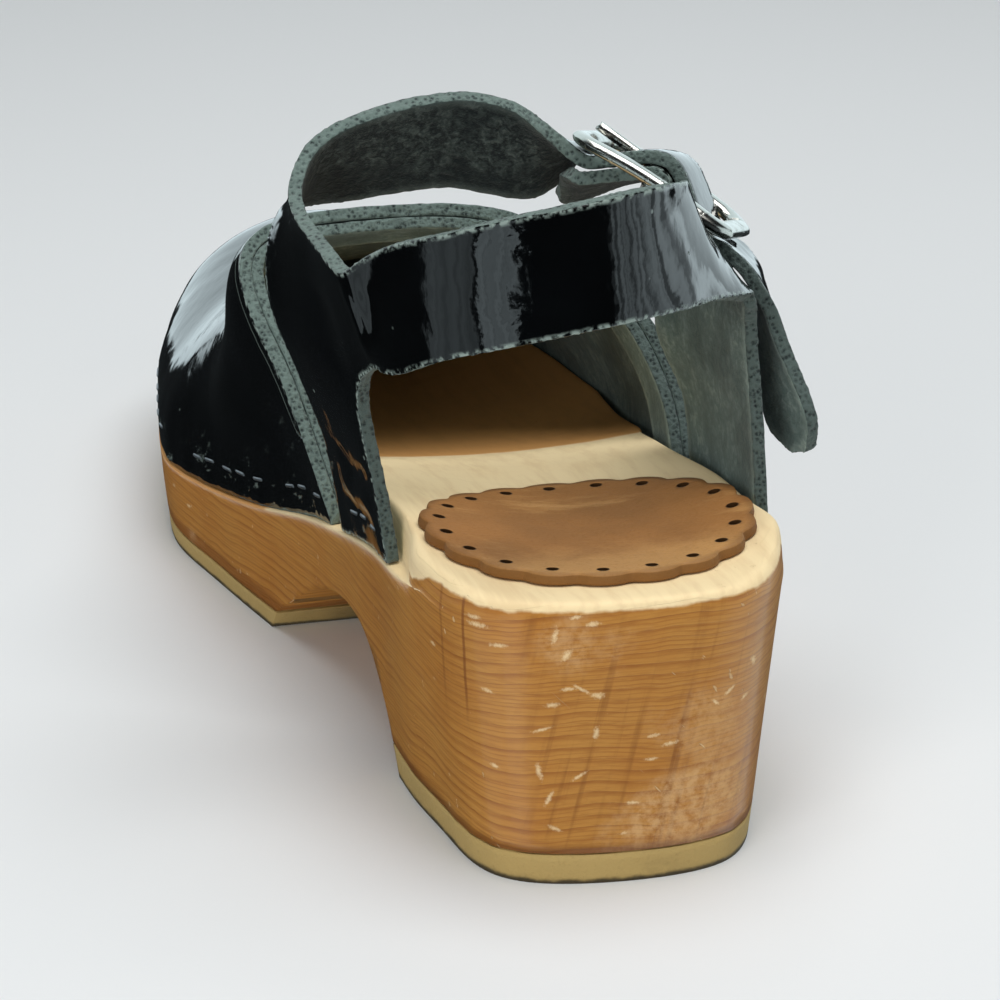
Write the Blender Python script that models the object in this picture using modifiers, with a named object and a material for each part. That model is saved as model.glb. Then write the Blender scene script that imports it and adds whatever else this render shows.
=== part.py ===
"""Sling-back clog sandal for the right foot: carved wooden sole, closed leather vamp, buckled ankle sling.

The tables are in millimetres. A station is the distance from the back of the heel towards the toe. +X is the
outer side of the foot and +Z is up. The finished part stands on the floor with its origin under the heel.
"""

import math
from collections import namedtuple

import bmesh
import bpy
from mathutils import Matrix, Vector
from mathutils.geometry import interpolate_bezier

MM = 0.001
GAP = 0.3                    # clearance between pieces that touch
MERGE = 0.00001              # metres, for points that are the same point

# Driving dimensions of the sole
HEEL_REST = (2.5, 27.0)      # x and station of the origin
HEEL_RUBBER = 5.5
FOREFOOT_RUBBER = 4.0
HEEL_BREAST = 51.0           # front edge of the heel on the floor
TREAD_START = 120.5          # rear edge of the forefoot on the floor
SPRING_START = 196.0
TOE_SPRING = 11.0            # rise of the underside at the toe
SOLE_LENGTH = 248.0
SPINE = (33.0, 203.0)        # the seat is round behind the first station, the toe beyond the second
OUTER_FLARE = 0.2            # how much more the outer side narrows to the floor
RIM_LEAN = 0.5               # lean of the rebate's wall from the ledge to the rim
RIM_ROUND = 1.2              # bevel of the rim
SIDE_STEPS = 22
ARC_STEPS = 16
REACH = 90.0                 # half length of the cutters across the sole
BEYOND = 30.0                # how far cutters run past the sole
DISH_RINGS = (0.84, 0.64, 0.42, 0.2, 0.0)    # shares of the way from the middle line to the rim
BREAST_SLANT = 2.6           # forward lean of the heel's front and back lean of the forefoot's rear

# Driving dimensions of the leather pieces
VAMP_WALL = 2.2
VAMP_REBATE = 2.9            # depth of the rebate that the leather is stapled in
VAMP_BULGE = 1.1             # swell of the vamp over the edge of the wood
VAMP_BULGE_LOW = 0.6         # exponent that keeps the swell low, 1 puts it half way up
VAMP_ROWS = 9
VAMP_SIDE_COLUMNS = 9
FACING_WALL = 2.0
FACING_WIDTH = 13.0
FACING_COLUMNS = 3           # columns of the vamp that the facing lies under, from the throat's edge
SLING_WALL = 2.2
LAYER_GAP = 0.4              # between the strap and the arm under it
SLING_STEPS = 2              # steps between two rows of the sling's tables
SLING_COLUMNS = 4            # faces across a band
INNER_FOOT = (46.0, 79.0)    # rear and front station of the inner leg on the ledge
OUTER_FOOT = (40.5, 77.5)
STRAP_REAR = 7.0             # half widths of the strap at the buckle
STRAP_FRONT = 9.0
ARM_HALF = 8.8
LAYER_TAIL = 4.0             # straight run of a layer past the end of the frame
FLANK_SHARE = 0.4            # place of the extra row between a layer's corner and shoulder
PAD_CENTRE = (4.1, 38.0)
PAD_RADIUS = 26.7
PAD_SCALLOP = 1.2
PAD_SCALLOPS = 19
PAD_THICKNESS = 1.8
PAD_RINGS = (1.0, 0.8, 0.5)  # shares of the pad's radius
PAD_POINTS = 6               # points along a scallop
PAD_DROP = 70.0              # height that the pad is laid down from

# Driving dimensions of the buckle
BUCKLE_CENTRE = (23.9, 64.5, 97.6)
BUCKLE_ALONG = (0.715, -0.52, -0.46)
BUCKLE_OUT = (0.525, -0.02, 0.843)
BUCKLE_LENGTH = 28.0         # between the middles of the two ends
BUCKLE_WIDTH = 23.0          # between the middles of the two rails
BUCKLE_CORNER = 5.0
BUCKLE_DOME = 1.0
RAIL_WIDTH = 4.0
RAIL_THICKNESS = 2.4
RAIL_SIDES = 10
BAR_RADIUS = 1.1
BAR_HEIGHT = -0.6            # of the bar's middle over the middle of the frame's ends
PRONG_RADIUS = 0.9
PRONG_RISE = 0.75            # from the curl to the tip
PRONG_CURL = 2.35            # radius of the curl round the bar, to the middle of the wire
PRONG_LENGTH = 14.0
PRONG_HOLE = 10.2            # length of the strap's hole for the prong
CURL_TURNS = (-200.0, 90.0)  # degrees at the start and end of the curl
CURL_STEPS = 14
BAR_SIDES = 12
SLOT_SIDES = 20

Spot = namedtuple("Spot", "where x station")
Section = namedtuple("Section", "station rim ledge dish flare inner_rebate outer_rebate")
Rise = namedtuple("Rise", "share inner outer")
Ridge = namedtuple("Ridge", "station shift height inner_round outer_round lean")
Fold = namedtuple("Fold", "where rear_x rear_station rear_height front_x front_station front_height")
Loop = namedtuple("Loop", "where low_x low_station low_height high_x high_station high_height")
Run = namedtuple("Run", "where along out rear front droop", defaults=(0.0,))
Arch = namedtuple("Arch", "station height")
Level = namedtuple("Level", "height flare")

# Widest outline of the wooden sole, seen from above
OUTLINE = (
    Spot("heel back", 2.5, 1.5),
    Spot("heel back outer", 23.5, 5.9),
    Spot("heel outer", 35.4, 32.0),
    Spot("waist outer", 36.4, 72.0),
    Spot("joint outer", 39.0, 122.0),
    Spot("ball outer", 42.5, 162.0),
    Spot("little toe", 38.5, 203.0),
    Spot("toe outer", 20.0, 236.0),
    Spot("toe tip", -9.0, SOLE_LENGTH),
    Spot("big toe", -31.0, 231.0),
    Spot("ball inner", -45.5, 172.0),
    Spot("behind ball", -40.5, 142.0),
    Spot("waist inner", -31.0, 100.0),
    Spot("seat inner", -28.0, 62.0),
    Spot("heel inner", -27.5, 32.0),
    Spot("heel back inner", -20.0, 8.0),
)

# Heights of the rim and of the rebate's ledge, depth of the footbed, narrowing to the floor, rebate depths
SECTIONS = (
    Section(0.0, 49.5, 43.5, 1.0, 2.0, 0.0, 0.0),
    Section(27.0, 49.4, 43.2, 3.4, 4.2, 0.0, 0.0),
    Section(34.0, 49.2, 42.8, 3.6, 4.0, 0.5, 0.0),
    Section(41.0, 48.8, 41.8, 3.9, 3.4, 2.9, 2.9),
    Section(60.0, 47.2, 38.8, 3.6, 2.4, 2.9, 2.9),
    Section(80.0, 44.2, 34.2, 2.8, 2.0, 2.9, 5.2),
    Section(87.0, 42.8, 32.6, 2.5, 1.8, 5.2, 5.2),
    Section(102.0, 39.3, 29.0, 2.2, 1.6, 5.2, 5.2),
    Section(110.0, 37.0, 26.8, 2.2, 1.6, 5.2, 2.9),
    Section(125.0, 33.2, 23.0, 2.2, 1.6, 2.9, 2.9),
    Section(150.0, 28.9, 18.7, 2.5, 1.6, 2.9, 2.9),
    Section(175.0, 25.6, 17.0, 2.5, 1.6, 2.9, 2.9),
    Section(205.0, 24.4, 18.4, 2.0, 1.6, 2.9, 2.9),
    Section(230.0, 26.2, 22.0, 1.4, 1.6, 2.9, 2.9),
    Section(SOLE_LENGTH, 28.6, 25.0, 1.0, 1.6, 2.9, 2.9),
)

# Curve of the wood's sides from the floor to the ledge, as shares of the ledge's height and of the flare
LEVELS = (
    Level(0.0, 1.0),
    Level(0.35, 0.66),
    Level(0.7, 0.3),
    Level(1.0, 0.0),
)

# Underside of the wood between the heel and the forefoot
ARCH = (
    Arch(HEEL_BREAST + BREAST_SLANT, HEEL_RUBBER),
    Arch(60.0, 14.0),
    Arch(69.0, 20.4),
    Arch(80.0, 21.3),
    Arch(91.0, 19.0),
    Arch(103.0, 13.6),
    Arch(TREAD_START - BREAST_SLANT, FOREFOOT_RUBBER),
)

# Crest of the vamp from the instep to the toe, carried on behind the throat: shift off the middle, height,
# exponents of the arched sides (2 is an ellipse) and outward lean of the inner side
RIDGES = (
    Ridge(70.0, -12.0, 97.0, 3.8, 2.4, 15.5),
    Ridge(118.5, -12.0, 80.8, 3.8, 2.4, 15.5),
    Ridge(140.0, -8.0, 69.8, 2.5, 2.2, 6.0),
    Ridge(165.0, -3.0, 59.0, 2.0, 2.0, 1.0),
    Ridge(185.0, -0.5, 52.8, 2.0, 2.0, 0.0),
    Ridge(SPINE[1], 0.0, 51.2, 2.0, 2.0, 0.0),
)

# Stations of the throat's edge on both sides, by share of the height from the ledge to the ridge
THROAT = (
    Rise(0.0, 87.0, 79.0),
    Rise(0.35, 98.0, 93.0),
    Rise(0.7, 110.5, 108.0),
    Rise(0.9, 116.5, 115.5),
    Rise(1.0, 118.5, 118.5),
)

# Inner leg of the sling, from above its foot to the instep: rear and front edge of the leather's middle
INNER_BAND = (
    Fold("lower leg", -28.8, 47.2, 55.0, -31.0, 77.0, 53.0),
    Fold("neck", -31.2, 47.8, 68.0, -36.5, 75.5, 68.0),
    Fold("fork low", -31.5, 44.5, 75.0, -39.0, 75.5, 74.0),
    Fold("fork", -31.0, 37.0, 79.5, -40.3, 76.0, 79.0),
    Fold("fork below middle", -32.7, 36.2, 84.5, -40.5, 77.0, 82.0),
    Fold("fork above middle", -34.5, 36.5, 90.0, -40.3, 78.2, 85.0),
    Fold("notch", -36.4, 37.5, 95.5, -39.6, 79.5, 87.8),
    Fold("strap foot", -38.3, 51.0, 97.5, -38.0, 82.0, 90.5),
    Fold("strap side", -38.8, 63.0, 100.5, -35.5, 84.0, 92.5),
    Fold("strap shoulder", -35.3, 69.0, 106.0, -31.5, 84.5, 93.2),
    Fold("strap rise", -28.0, 71.0, 110.0, -25.5, 83.0, 93.8),
    Fold("strap top", -11.5, 71.5, 113.2, -9.9, 80.2, 95.8),
    Fold("outer shoulder", -1.5, 69.0, 111.8, 3.4, 77.2, 93.6),
    Fold("strap turn", 3.8, 67.4, 108.0, 10.2, 79.2, 95.8),
)

# Free end of the instep strap past the buckle
FREE_END = (
    Fold("below buckle", 36.0, 48.0, 84.5, 41.0, 64.5, 80.0),
    Fold("free end", 39.8, 46.5, 74.0, 41.0, 61.5, 69.5),
    Fold("tip shoulder", 44.0, 42.5, 62.0, 41.3, 55.5, 57.0),
    Fold("tip", 44.6, 44.5, 55.5, 43.4, 48.5, 54.0),
)

# Outer leg of the sling, up to its arm under the buckle
OUTER_BAND = (
    Fold("lower leg", 34.5, 41.5, 57.0, 35.0, 82.0, 53.0),
    Fold("neck", 34.0, 43.4, 69.5, 32.4, 82.5, 65.0),
    Fold("fork low", 33.1, 43.4, 79.0, 32.6, 80.5, 72.5),
    Fold("fork", 32.0, 41.5, 84.5, 35.6, 72.0, 79.0),
)
# Rounded end of the arm, counted from its corner under the frame's high end: its front edge hangs
ARM_END = (
    Run("end shoulder", -1.9, -0.3, 7.6, 7.6, -5.4),
    Run("rounded end", -3.6, -1.0, 4.5, 2.5, -5.2),
)
ARM_DROOP = {"high flank": -1.0, "high corner": -3.2}

# Heel strap from the inner to the outer leg: lower and upper edge of the leather's middle
HEEL_BAND = (
    Loop("inner side", -29.5, 28.0, 81.0, -31.0, 28.0, 102.0),
    Loop("inner back", -24.3, 18.0, 86.3, -25.0, 18.0, 106.5),
    Loop("back inner", -16.5, 11.0, 90.0, -17.3, 11.0, 110.3),
    Loop("back", -8.0, 8.0, 92.2, -9.0, 8.0, 112.4),
    Loop("back outer", 1.5, 9.5, 93.0, 0.0, 9.5, 113.3),
    Loop("outer back", 11.5, 16.0, 92.0, 8.5, 16.0, 112.3),
    Loop("outer side", 21.5, 26.5, 89.5, 15.5, 27.0, 109.0),
    Loop("outer", 27.5, 33.5, 87.2, 18.0, 36.0, 106.0),
    Loop("outer end", 30.5, 38.5, 85.3, 21.3, 44.0, 99.5),
)

# Base colour, roughness and metallic value
FINISHES = {
    "varnished wood": ((0.52, 0.24, 0.08, 1.0), 0.35, 0.0),
    "tan rubber": ((0.55, 0.45, 0.25, 1.0), 0.7, 0.0),
    "brown leather": ((0.30, 0.14, 0.05, 1.0), 0.55, 0.0),
    "patent leather": ((0.008, 0.008, 0.009, 1.0), 0.08, 0.0),
    "flesh side": ((0.07, 0.09, 0.085, 1.0), 0.9, 0.0),
    "nickel": ((0.75, 0.75, 0.73, 1.0), 0.12, 1.0),
}


def place(x, station, height):
    """Point of the part, in metres, for a place in the tables."""
    return Vector((x - HEEL_REST[0], station - HEEL_REST[1], height)) * MM


def along(rows, column, station):
    """Smooth value of a column between the rows of a table whose first column rises."""
    knots = [row[0] for row in rows]
    values = [getattr(row, column) for row in rows]
    if station <= knots[0]:
        return values[0]
    if station >= knots[-1]:
        return values[-1]
    at = max(index for index, knot in enumerate(knots) if knot <= station)
    slopes = []
    for index in (at, at + 1):
        low = max(index - 1, 0)
        high = min(index + 1, len(knots) - 1)
        slopes.append((values[high] - values[low]) / (knots[high] - knots[low]))
    span = knots[at + 1] - knots[at]
    t = (station - knots[at]) / span
    rise = values[at + 1] - values[at]
    return values[at] + t * (slopes[0] * span + t * (
        3 * rise - (2 * slopes[0] + slopes[1]) * span + t * ((slopes[0] + slopes[1]) * span - 2 * rise)))


def straight(rows, column, station):
    """Straight-line value of a column between the rows of a table whose first column rises."""
    for low, high in zip(rows, rows[1:]):
        if station <= high[0]:
            share = max(0.0, (station - low[0]) / (high[0] - low[0]))
            return getattr(low, column) * (1 - share) + getattr(high, column) * share
    return getattr(rows[-1], column)


def smooth(points, steps, closed=False):
    """Points of a smooth curve through the given ones, with some steps in each span."""
    count = len(points)
    spans = count if closed else count - 1
    curve = []

    def point(index):
        return points[index % count] if closed else points[min(max(index, 0), count - 1)]

    for index in range(spans):
        start, end = point(index), point(index + 1)
        length = (end - start).length
        before = (start - point(index - 1)).length or length
        after = (point(index + 2) - end).length or length
        leave = (end - point(index - 1)) * length / (before + length) / 3
        arrive = (point(index + 2) - start) * length / (length + after) / 3
        curve += interpolate_bezier(start, start + leave, end - arrive, end, steps + 1)[:-1]
    if not closed:
        curve.append(points[-1])
    return curve


def even(points, count):
    """Evenly spaced points along a line, with both of its ends."""
    lengths = [0.0]
    for start, end in zip(points, points[1:]):
        lengths.append(lengths[-1] + (end - start).length)
    spaced = []
    at = 0
    for index in range(count):
        target = lengths[-1] * index / (count - 1)
        while at < len(points) - 2 and lengths[at + 1] < target:
            at += 1
        share = (target - lengths[at]) / (lengths[at + 1] - lengths[at])
        spaced.append(points[at].lerp(points[at + 1], share))
    return spaced


def dense_outline(inset):
    """Finely divided outline of the sole, moved inwards by inset(x, station)."""
    curve = smooth([Vector((spot.x, spot.station)) for spot in OUTLINE], 12, closed=True)
    moved = []
    for index, point in enumerate(curve):
        run = curve[(index + 1) % len(curve)] - curve[index - 1]
        outward = Vector((run.y, -run.x)).normalized()
        moved.append(point - outward * inset(point.x, point.y))
    return moved


def side_points(curve, outer):
    """The points of one side of a closed outline, from the heel to the toe."""
    back = min(range(len(curve)), key=lambda index: curve[index].y)
    toe = max(range(len(curve)), key=lambda index: curve[index].y)
    turned = curve[back:] + curve[:back]
    toe = (toe - back) % len(curve)
    return turned[:toe + 1] if outer else [turned[0]] + turned[:toe - 1:-1]


def at_station(points, station):
    """Point at a station on one side of an outline."""
    for low, high in zip(points, points[1:]):
        if low.y <= station <= high.y and high.y > low.y:
            return low.lerp(high, (station - low.y) / (high.y - low.y))
    return points[-1]


def ring(inset):
    """Outline as matched points: outer side, toe, inner side, heel. Both sides use the same stations."""
    curve = dense_outline(inset)
    outer = side_points(curve, True)
    inner = side_points(curve, False)
    stations = [SPINE[0] + (SPINE[1] - SPINE[0]) * step / SIDE_STEPS for step in range(SIDE_STEPS + 1)]
    outer_run = [at_station(outer, station) for station in stations]
    inner_run = [at_station(inner, station) for station in stations]
    toe = [outer_run[-1]] + [p for p in outer if p.y > SPINE[1]]
    toe += [p for p in reversed(inner) if p.y > SPINE[1]][1:] + [inner_run[-1]]
    heel = [inner_run[0]] + [p for p in reversed(inner) if p.y < SPINE[0]]
    heel += [p for p in outer if p.y < SPINE[0]][1:] + [outer_run[0]]
    return (outer_run + even(toe, ARC_STEPS + 1)[1:-1] + inner_run[::-1] + even(heel, ARC_STEPS + 1)[1:-1])


def spine_point(points, station):
    """Middle of the outline at a station, kept between the ends of the spine."""
    station = min(max(station, SPINE[0]), SPINE[1])
    share = (station - SPINE[0]) / (SPINE[1] - SPINE[0]) * SIDE_STEPS
    step = min(int(share), SIDE_STEPS - 1)
    inner_start = SIDE_STEPS + ARC_STEPS
    middles = []
    for index in (step, step + 1):
        inner = points[inner_start + SIDE_STEPS - index]
        middles.append((points[index] + inner) / 2)
    return middles[0].lerp(middles[1], share - step)


def rebate(x, station):
    side = "outer_rebate" if x > 0 else "inner_rebate"
    return straight(SECTIONS, side, station)


def clear_scene():
    for item in list(bpy.data.objects):
        bpy.data.objects.remove(item, do_unlink=True)


def new_collection(name):
    collection = bpy.data.collections.new(name)
    bpy.context.scene.collection.children.link(collection)
    return collection


def finish_material(name, finish):
    colour, roughness, metallic = FINISHES[finish]
    material = bpy.data.materials.new(f"{name} {finish}")
    material.use_nodes = True
    shader = material.node_tree.nodes["Principled BSDF"]
    shader.inputs["Base Color"].default_value = colour
    shader.inputs["Roughness"].default_value = roughness
    shader.inputs["Metallic"].default_value = metallic
    return material


def make_part(name, bm, finish, collection):
    """Named object with its own material from a finished bmesh."""
    mesh = bpy.data.meshes.new(name)
    bm.to_mesh(mesh)
    bm.free()
    mesh.shade_smooth()
    mesh.set_sharp_from_angle(angle=math.radians(35))
    part = bpy.data.objects.new(name, mesh)
    collection.objects.link(part)
    if finish:
        mesh.materials.append(finish_material(name, finish))
    return part


def make_cutter(name, bm, collection):
    cutter = make_part(name, bm, None, collection)
    cutter.hide_render = True
    cutter.display_type = "WIRE"
    return cutter


def combine(part, cutter, operation):
    boolean = part.modifiers.new(f"{operation.lower()} {cutter.name}", "BOOLEAN")
    boolean.operation = operation
    boolean.object = cutter
    boolean.solver = "EXACT"


def thicken(part, wall, offset):
    solidify = part.modifiers.new("wall", "SOLIDIFY")
    solidify.thickness = wall * MM
    solidify.offset = offset
    solidify.use_even_offset = True


def add_face(bm, corners):
    """Face through the corners that differ, or nothing where they meet."""
    different = []
    for corner in corners:
        if corner not in different:
            different.append(corner)
    if len(different) > 2:
        bm.faces.new(different)


def bridge(bm, first, second, closed=False):
    """Faces between two lines of points, one after the other."""
    count = len(first) if closed else len(first) - 1
    for index in range(count):
        after = (index + 1) % len(first)
        add_face(bm, (first[index], first[after], second[after], second[index]))


def outer_flare(x):
    """Factor of the narrowing to the floor, larger on the outer side."""
    return 1 + OUTER_FLARE * min(max(x / 25, 0), 1)


def block_bmesh():
    """The whole sole from the floor to the rim, with its rebate and dished footbed, before it is cut."""
    def level(name, station):
        return along(SECTIONS, name, station)

    sides = []
    for row in LEVELS:
        outline = ring(lambda x, station: level("flare", station) * row.flare * outer_flare(x))
        sides.append([(p, level("ledge", p.y) * row.height) for p in outline])
    sides += [
        [(p, level("ledge", p.y) + GAP) for p in ring(rebate)],
        [(p, level("rim", p.y) - RIM_ROUND) for p in ring(lambda x, s: rebate(x, s) + RIM_LEAN)],
        [(p, level("rim", p.y)) for p in ring(lambda x, s: rebate(x, s) + RIM_LEAN + RIM_ROUND)],
    ]
    rim = [p for p, height in sides[-1]]
    for share in DISH_RINGS:
        loop = []
        for point in rim:
            inside = spine_point(rim, point.y).lerp(point, share)
            loop.append((inside, level("rim", inside.y) - level("dish", inside.y) * (1 - share ** 2)))
        sides.append(loop)
    bm = bmesh.new()
    loops = [[bm.verts.new(place(p.x, p.y, height)) for p, height in loop] for loop in sides]
    for lower, upper in zip(loops, loops[1:]):
        bridge(bm, lower, upper, closed=True)
    bm.faces.new(reversed(loops[0]))
    bmesh.ops.remove_doubles(bm, verts=bm.verts, dist=MERGE)
    bmesh.ops.recalc_face_normals(bm, faces=bm.faces)
    return bm


def profile_prism(profile):
    """Solid across the whole sole from an outline of (station, height) points."""
    bm = bmesh.new()
    face = bm.faces.new([bm.verts.new(place(-REACH, station, height)) for station, height in profile])
    across = bmesh.ops.extrude_face_region(bm, geom=[face])
    moved = [item for item in across["geom"] if isinstance(item, bmesh.types.BMVert)]
    bmesh.ops.translate(bm, verts=moved, vec=Vector((2 * REACH * MM, 0, 0)))
    bmesh.ops.recalc_face_normals(bm, faces=bm.faces)
    return bm


def toe_spring():
    """Stations and rises of the underside from the flat forefoot to past the toe."""
    steps = 8
    run = SOLE_LENGTH + BEYOND - SPRING_START
    points = []
    for step in range(steps + 1):
        station = SPRING_START + run * step / steps
        share = (station - SPRING_START) / (SOLE_LENGTH - SPRING_START)
        points.append((station, TOE_SPRING * share ** 2))
    return points


def build_sole(parts, cutters):
    arch = [Vector((row.station, row.height)) for row in ARCH]
    arch = [(p.x, p.y) for p in smooth(arch, 3)]
    wood_spring = [(station, FOREFOOT_RUBBER + rise) for station, rise in toe_spring()]
    below = [(SOLE_LENGTH + BEYOND, -BEYOND), (-BEYOND, -BEYOND)]
    under_wood = [(-BEYOND, HEEL_RUBBER)] + arch + wood_spring + below

    sole = make_part("wood_sole", block_bmesh(), "varnished wood", parts)
    combine(sole, make_cutter("under the wood", profile_prism(under_wood), cutters), "DIFFERENCE")

    heel_top = HEEL_RUBBER - GAP
    heel_band = [(-BEYOND, -BEYOND), (HEEL_BREAST, -BEYOND), (HEEL_BREAST, 0.0),
                 (HEEL_BREAST + BREAST_SLANT, heel_top), (-BEYOND, heel_top)]
    heel = make_part("heel_rubber", block_bmesh(), "tan rubber", parts)
    combine(heel, make_cutter("heel band", profile_prism(heel_band), cutters), "INTERSECT")

    tread_top = [(station, rise + FOREFOOT_RUBBER - GAP) for station, rise in reversed(toe_spring())]
    tread_band = [(TREAD_START - BREAST_SLANT, FOREFOOT_RUBBER - GAP), (TREAD_START, 0.0),
                  (TREAD_START, -BEYOND), (SPRING_START, -BEYOND)] + toe_spring() + tread_top
    tread = make_part("forefoot_rubber", block_bmesh(), "tan rubber", parts)
    combine(tread, make_cutter("tread band", profile_prism(tread_band), cutters), "INTERSECT")
    return sole


def build_pad(parts, sole):
    """Scalloped leather disc that follows the dish of the heel seat."""
    count = PAD_SCALLOPS * PAD_POINTS
    bm = bmesh.new()
    loops = []
    for share in PAD_RINGS:
        loop = []
        for index in range(count):
            turn = 2 * math.pi * index / count
            wave = abs(math.sin(PAD_SCALLOPS * turn / 2)) * PAD_SCALLOP if share == PAD_RINGS[0] else 0.0
            radius = PAD_RADIUS * share + wave
            x, station = PAD_CENTRE[0] + radius * math.sin(turn), PAD_CENTRE[1] - radius * math.cos(turn)
            loop.append(bm.verts.new(place(x, station, PAD_DROP)))
        loops.append(loop)
    for outside, inside in zip(loops, loops[1:]):
        bridge(bm, outside, inside, closed=True)
    middle = bm.verts.new(place(*PAD_CENTRE, PAD_DROP))
    for index, corner in enumerate(loops[-1]):
        add_face(bm, (corner, loops[-1][(index + 1) % count], middle))
    bmesh.ops.recalc_face_normals(bm, faces=bm.faces)
    pad = make_part("heel_pad", bm, "brown leather", parts)
    drape = pad.modifiers.new("on the heel seat", "SHRINKWRAP")
    drape.target = sole
    drape.wrap_method = "PROJECT"
    drape.use_project_z = True
    drape.use_negative_direction = True
    drape.use_positive_direction = False
    drape.offset = GAP * MM
    thicken(pad, PAD_THICKNESS, 1.0)


def throat_columns(start):
    """Stations of the vamp's columns on one side: the facing first, then on to the toe."""
    facing_end = start + FACING_WIDTH
    run = SPINE[1] - facing_end
    rest = [facing_end + run * step / VAMP_SIDE_COLUMNS for step in range(VAMP_SIDE_COLUMNS + 1)]
    return [start, start + FACING_WIDTH / 2] + rest


def vamp_rows():
    """Points of the vamp's outer surface: rows from the ledge to the ridge, columns from throat to throat."""
    inset = VAMP_REBATE - GAP - VAMP_WALL
    edge = ring(lambda x, station: inset)
    curve = dense_outline(lambda x, station: inset)
    outer_side, inner_side = side_points(curve, True), side_points(curve, False)
    toe_arc = edge[SIDE_STEPS:SIDE_STEPS + ARC_STEPS + 1][::-1]

    def vamp_point(foot, turn):
        """Point of the arched section that starts at a foot on the ledge and turns up to the crest."""
        middle = spine_point(edge, foot.y)
        middle.y = min(foot.y, SPINE[1])
        middle.x += along(RIDGES, "shift", middle.y)
        inner = foot.x < middle.x
        power = 2 / along(RIDGES, "inner_round" if inner else "outer_round", middle.y)
        share, reach = math.sin(turn) ** power, math.cos(turn) ** power
        swell = VAMP_BULGE * math.sin(math.pi * share ** VAMP_BULGE_LOW)
        if inner:
            swell += along(RIDGES, "lean", middle.y) * share ** 2
        flat = middle + (foot - middle + (foot - middle).normalized() * swell) * reach
        bottom = along(SECTIONS, "ledge", foot.y) + 2 * GAP
        return place(flat.x, flat.y, bottom + (along(RIDGES, "height", middle.y) - bottom) * share)

    def throat_start(side, turn):
        share = math.sin(turn) ** (2 / getattr(RIDGES[0], f"{side}_round"))
        return along(THROAT, side, share)

    rows = []
    for row in range(VAMP_ROWS + 1):
        turn = math.pi / 2 * row / VAMP_ROWS
        inner_run = [at_station(inner_side, station) for station in throat_columns(throat_start("inner", turn))]
        outer_run = [at_station(outer_side, station) for station in throat_columns(throat_start("outer", turn))]
        feet = inner_run + toe_arc[1:-1] + outer_run[::-1]
        rows.append([vamp_point(foot, turn) for foot in feet])
    return rows


def sheet(rows, inset=0.0):
    """Open surface through rows of points, its normals outwards, moved inwards by an inset."""
    bm = bmesh.new()
    lines = [[bm.verts.new(point) for point in row] for row in rows]
    for lower, upper in zip(lines, lines[1:]):
        bridge(bm, upper, lower)
    bmesh.ops.remove_doubles(bm, verts=bm.verts, dist=MERGE)
    bm.normal_update()
    for corner in bm.verts:
        corner.co -= corner.normal * inset * MM
    return bm


def build_vamp(parts):
    rows = vamp_rows()
    vamp = make_part("vamp", sheet(rows), "patent leather", parts)
    thicken(vamp, VAMP_WALL, -1.0)
    inner = [row[:FACING_COLUMNS] for row in rows]
    outer = [row[-FACING_COLUMNS:][::-1] for row in rows]
    arch = inner + outer[-2::-1]
    facing = make_part("throat_facing", sheet(arch, VAMP_WALL + GAP), "flesh side", parts)
    thicken(facing, FACING_WALL, -1.0)


def buckle_axes():
    """Directions of the buckle: along the strap, towards the ankle side of its width, and outwards."""
    forward = Vector(BUCKLE_ALONG).normalized()
    outward = Vector(BUCKLE_OUT)
    outward = (outward - forward * outward.dot(forward)).normalized()
    return forward, forward.cross(outward), outward


def at_buckle(run, side, out):
    forward, across, outward = buckle_axes()
    return place(*BUCKLE_CENTRE) + (forward * run + across * side + outward * out) * MM


def bar_run(layer, rear, front):
    """Rows of a layer under both ends of the frame and over its bar: layer 0 is the arm, 1 the strap."""
    step = SLING_WALL + LAYER_GAP
    strap_radius = BAR_RADIUS + GAP + SLING_WALL / 2 + step
    strap_low = -(RAIL_THICKNESS + SLING_WALL) / 2 - 2 * GAP
    strap_corner = BUCKLE_LENGTH / 2 - RAIL_WIDTH / 2 - GAP
    depth = BAR_HEIGHT - strap_low
    slope = math.atan2(depth, strap_corner) + math.asin(strap_radius / math.hypot(strap_corner, depth))
    inwards = step * (1 - layer)
    radius = strap_radius - inwards
    low = strap_low - inwards
    corner = strap_corner - inwards * math.tan(slope / 2)
    shoulder = Vector((radius * math.sin(slope), BAR_HEIGHT + radius * math.cos(slope)))
    flank = Vector((corner, low)).lerp(shoulder, FLANK_SHARE)
    tail = corner + LAYER_TAIL
    half = [("end", tail, low), ("corner", corner, low), ("flank", *flank), ("shoulder", *shoulder)]
    rows = [Run(f"high {where}", -run, out, rear, front) for where, run, out in half]
    rows.append(Run("over bar", 0.0, BAR_HEIGHT + radius, rear, front))
    rows += [Run(f"low {where}", run, out, rear, front) for where, run, out in reversed(half)]
    return rows


def arm_run():
    """Rows of the arm from its leg to its rounded end under the strap."""
    rows = [row._replace(droop=ARM_DROOP.get(row.where, 0.0)) for row in bar_run(0, ARM_HALF, ARM_HALF)[:0:-1]]
    last = rows[-1]
    return rows + [row._replace(along=last.along + row.along, out=last.out + row.out) for row in ARM_END]


def leg_foot(stations, outer):
    """Points of a leg's lower edge where it stands on the ledge, rear to front."""
    inset = VAMP_REBATE - 2 * GAP - SLING_WALL / 2
    side = side_points(dense_outline(lambda x, station: inset), outer)
    rear, front = stations
    feet = [at_station(side, rear + (front - rear) * step / SLING_COLUMNS) for step in range(SLING_COLUMNS + 1)]
    return [place(foot.x, foot.y, along(SECTIONS, "ledge", foot.y) + 2 * GAP) for foot in feet]


def edges_of(row):
    """Both edges of a band at a row of its table, in metres."""
    if isinstance(row, Run):
        return at_buckle(row.along, row.rear, row.out), at_buckle(row.along, -row.front, row.out + row.droop)
    return place(*row[1:4]), place(*row[4:7])


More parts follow.
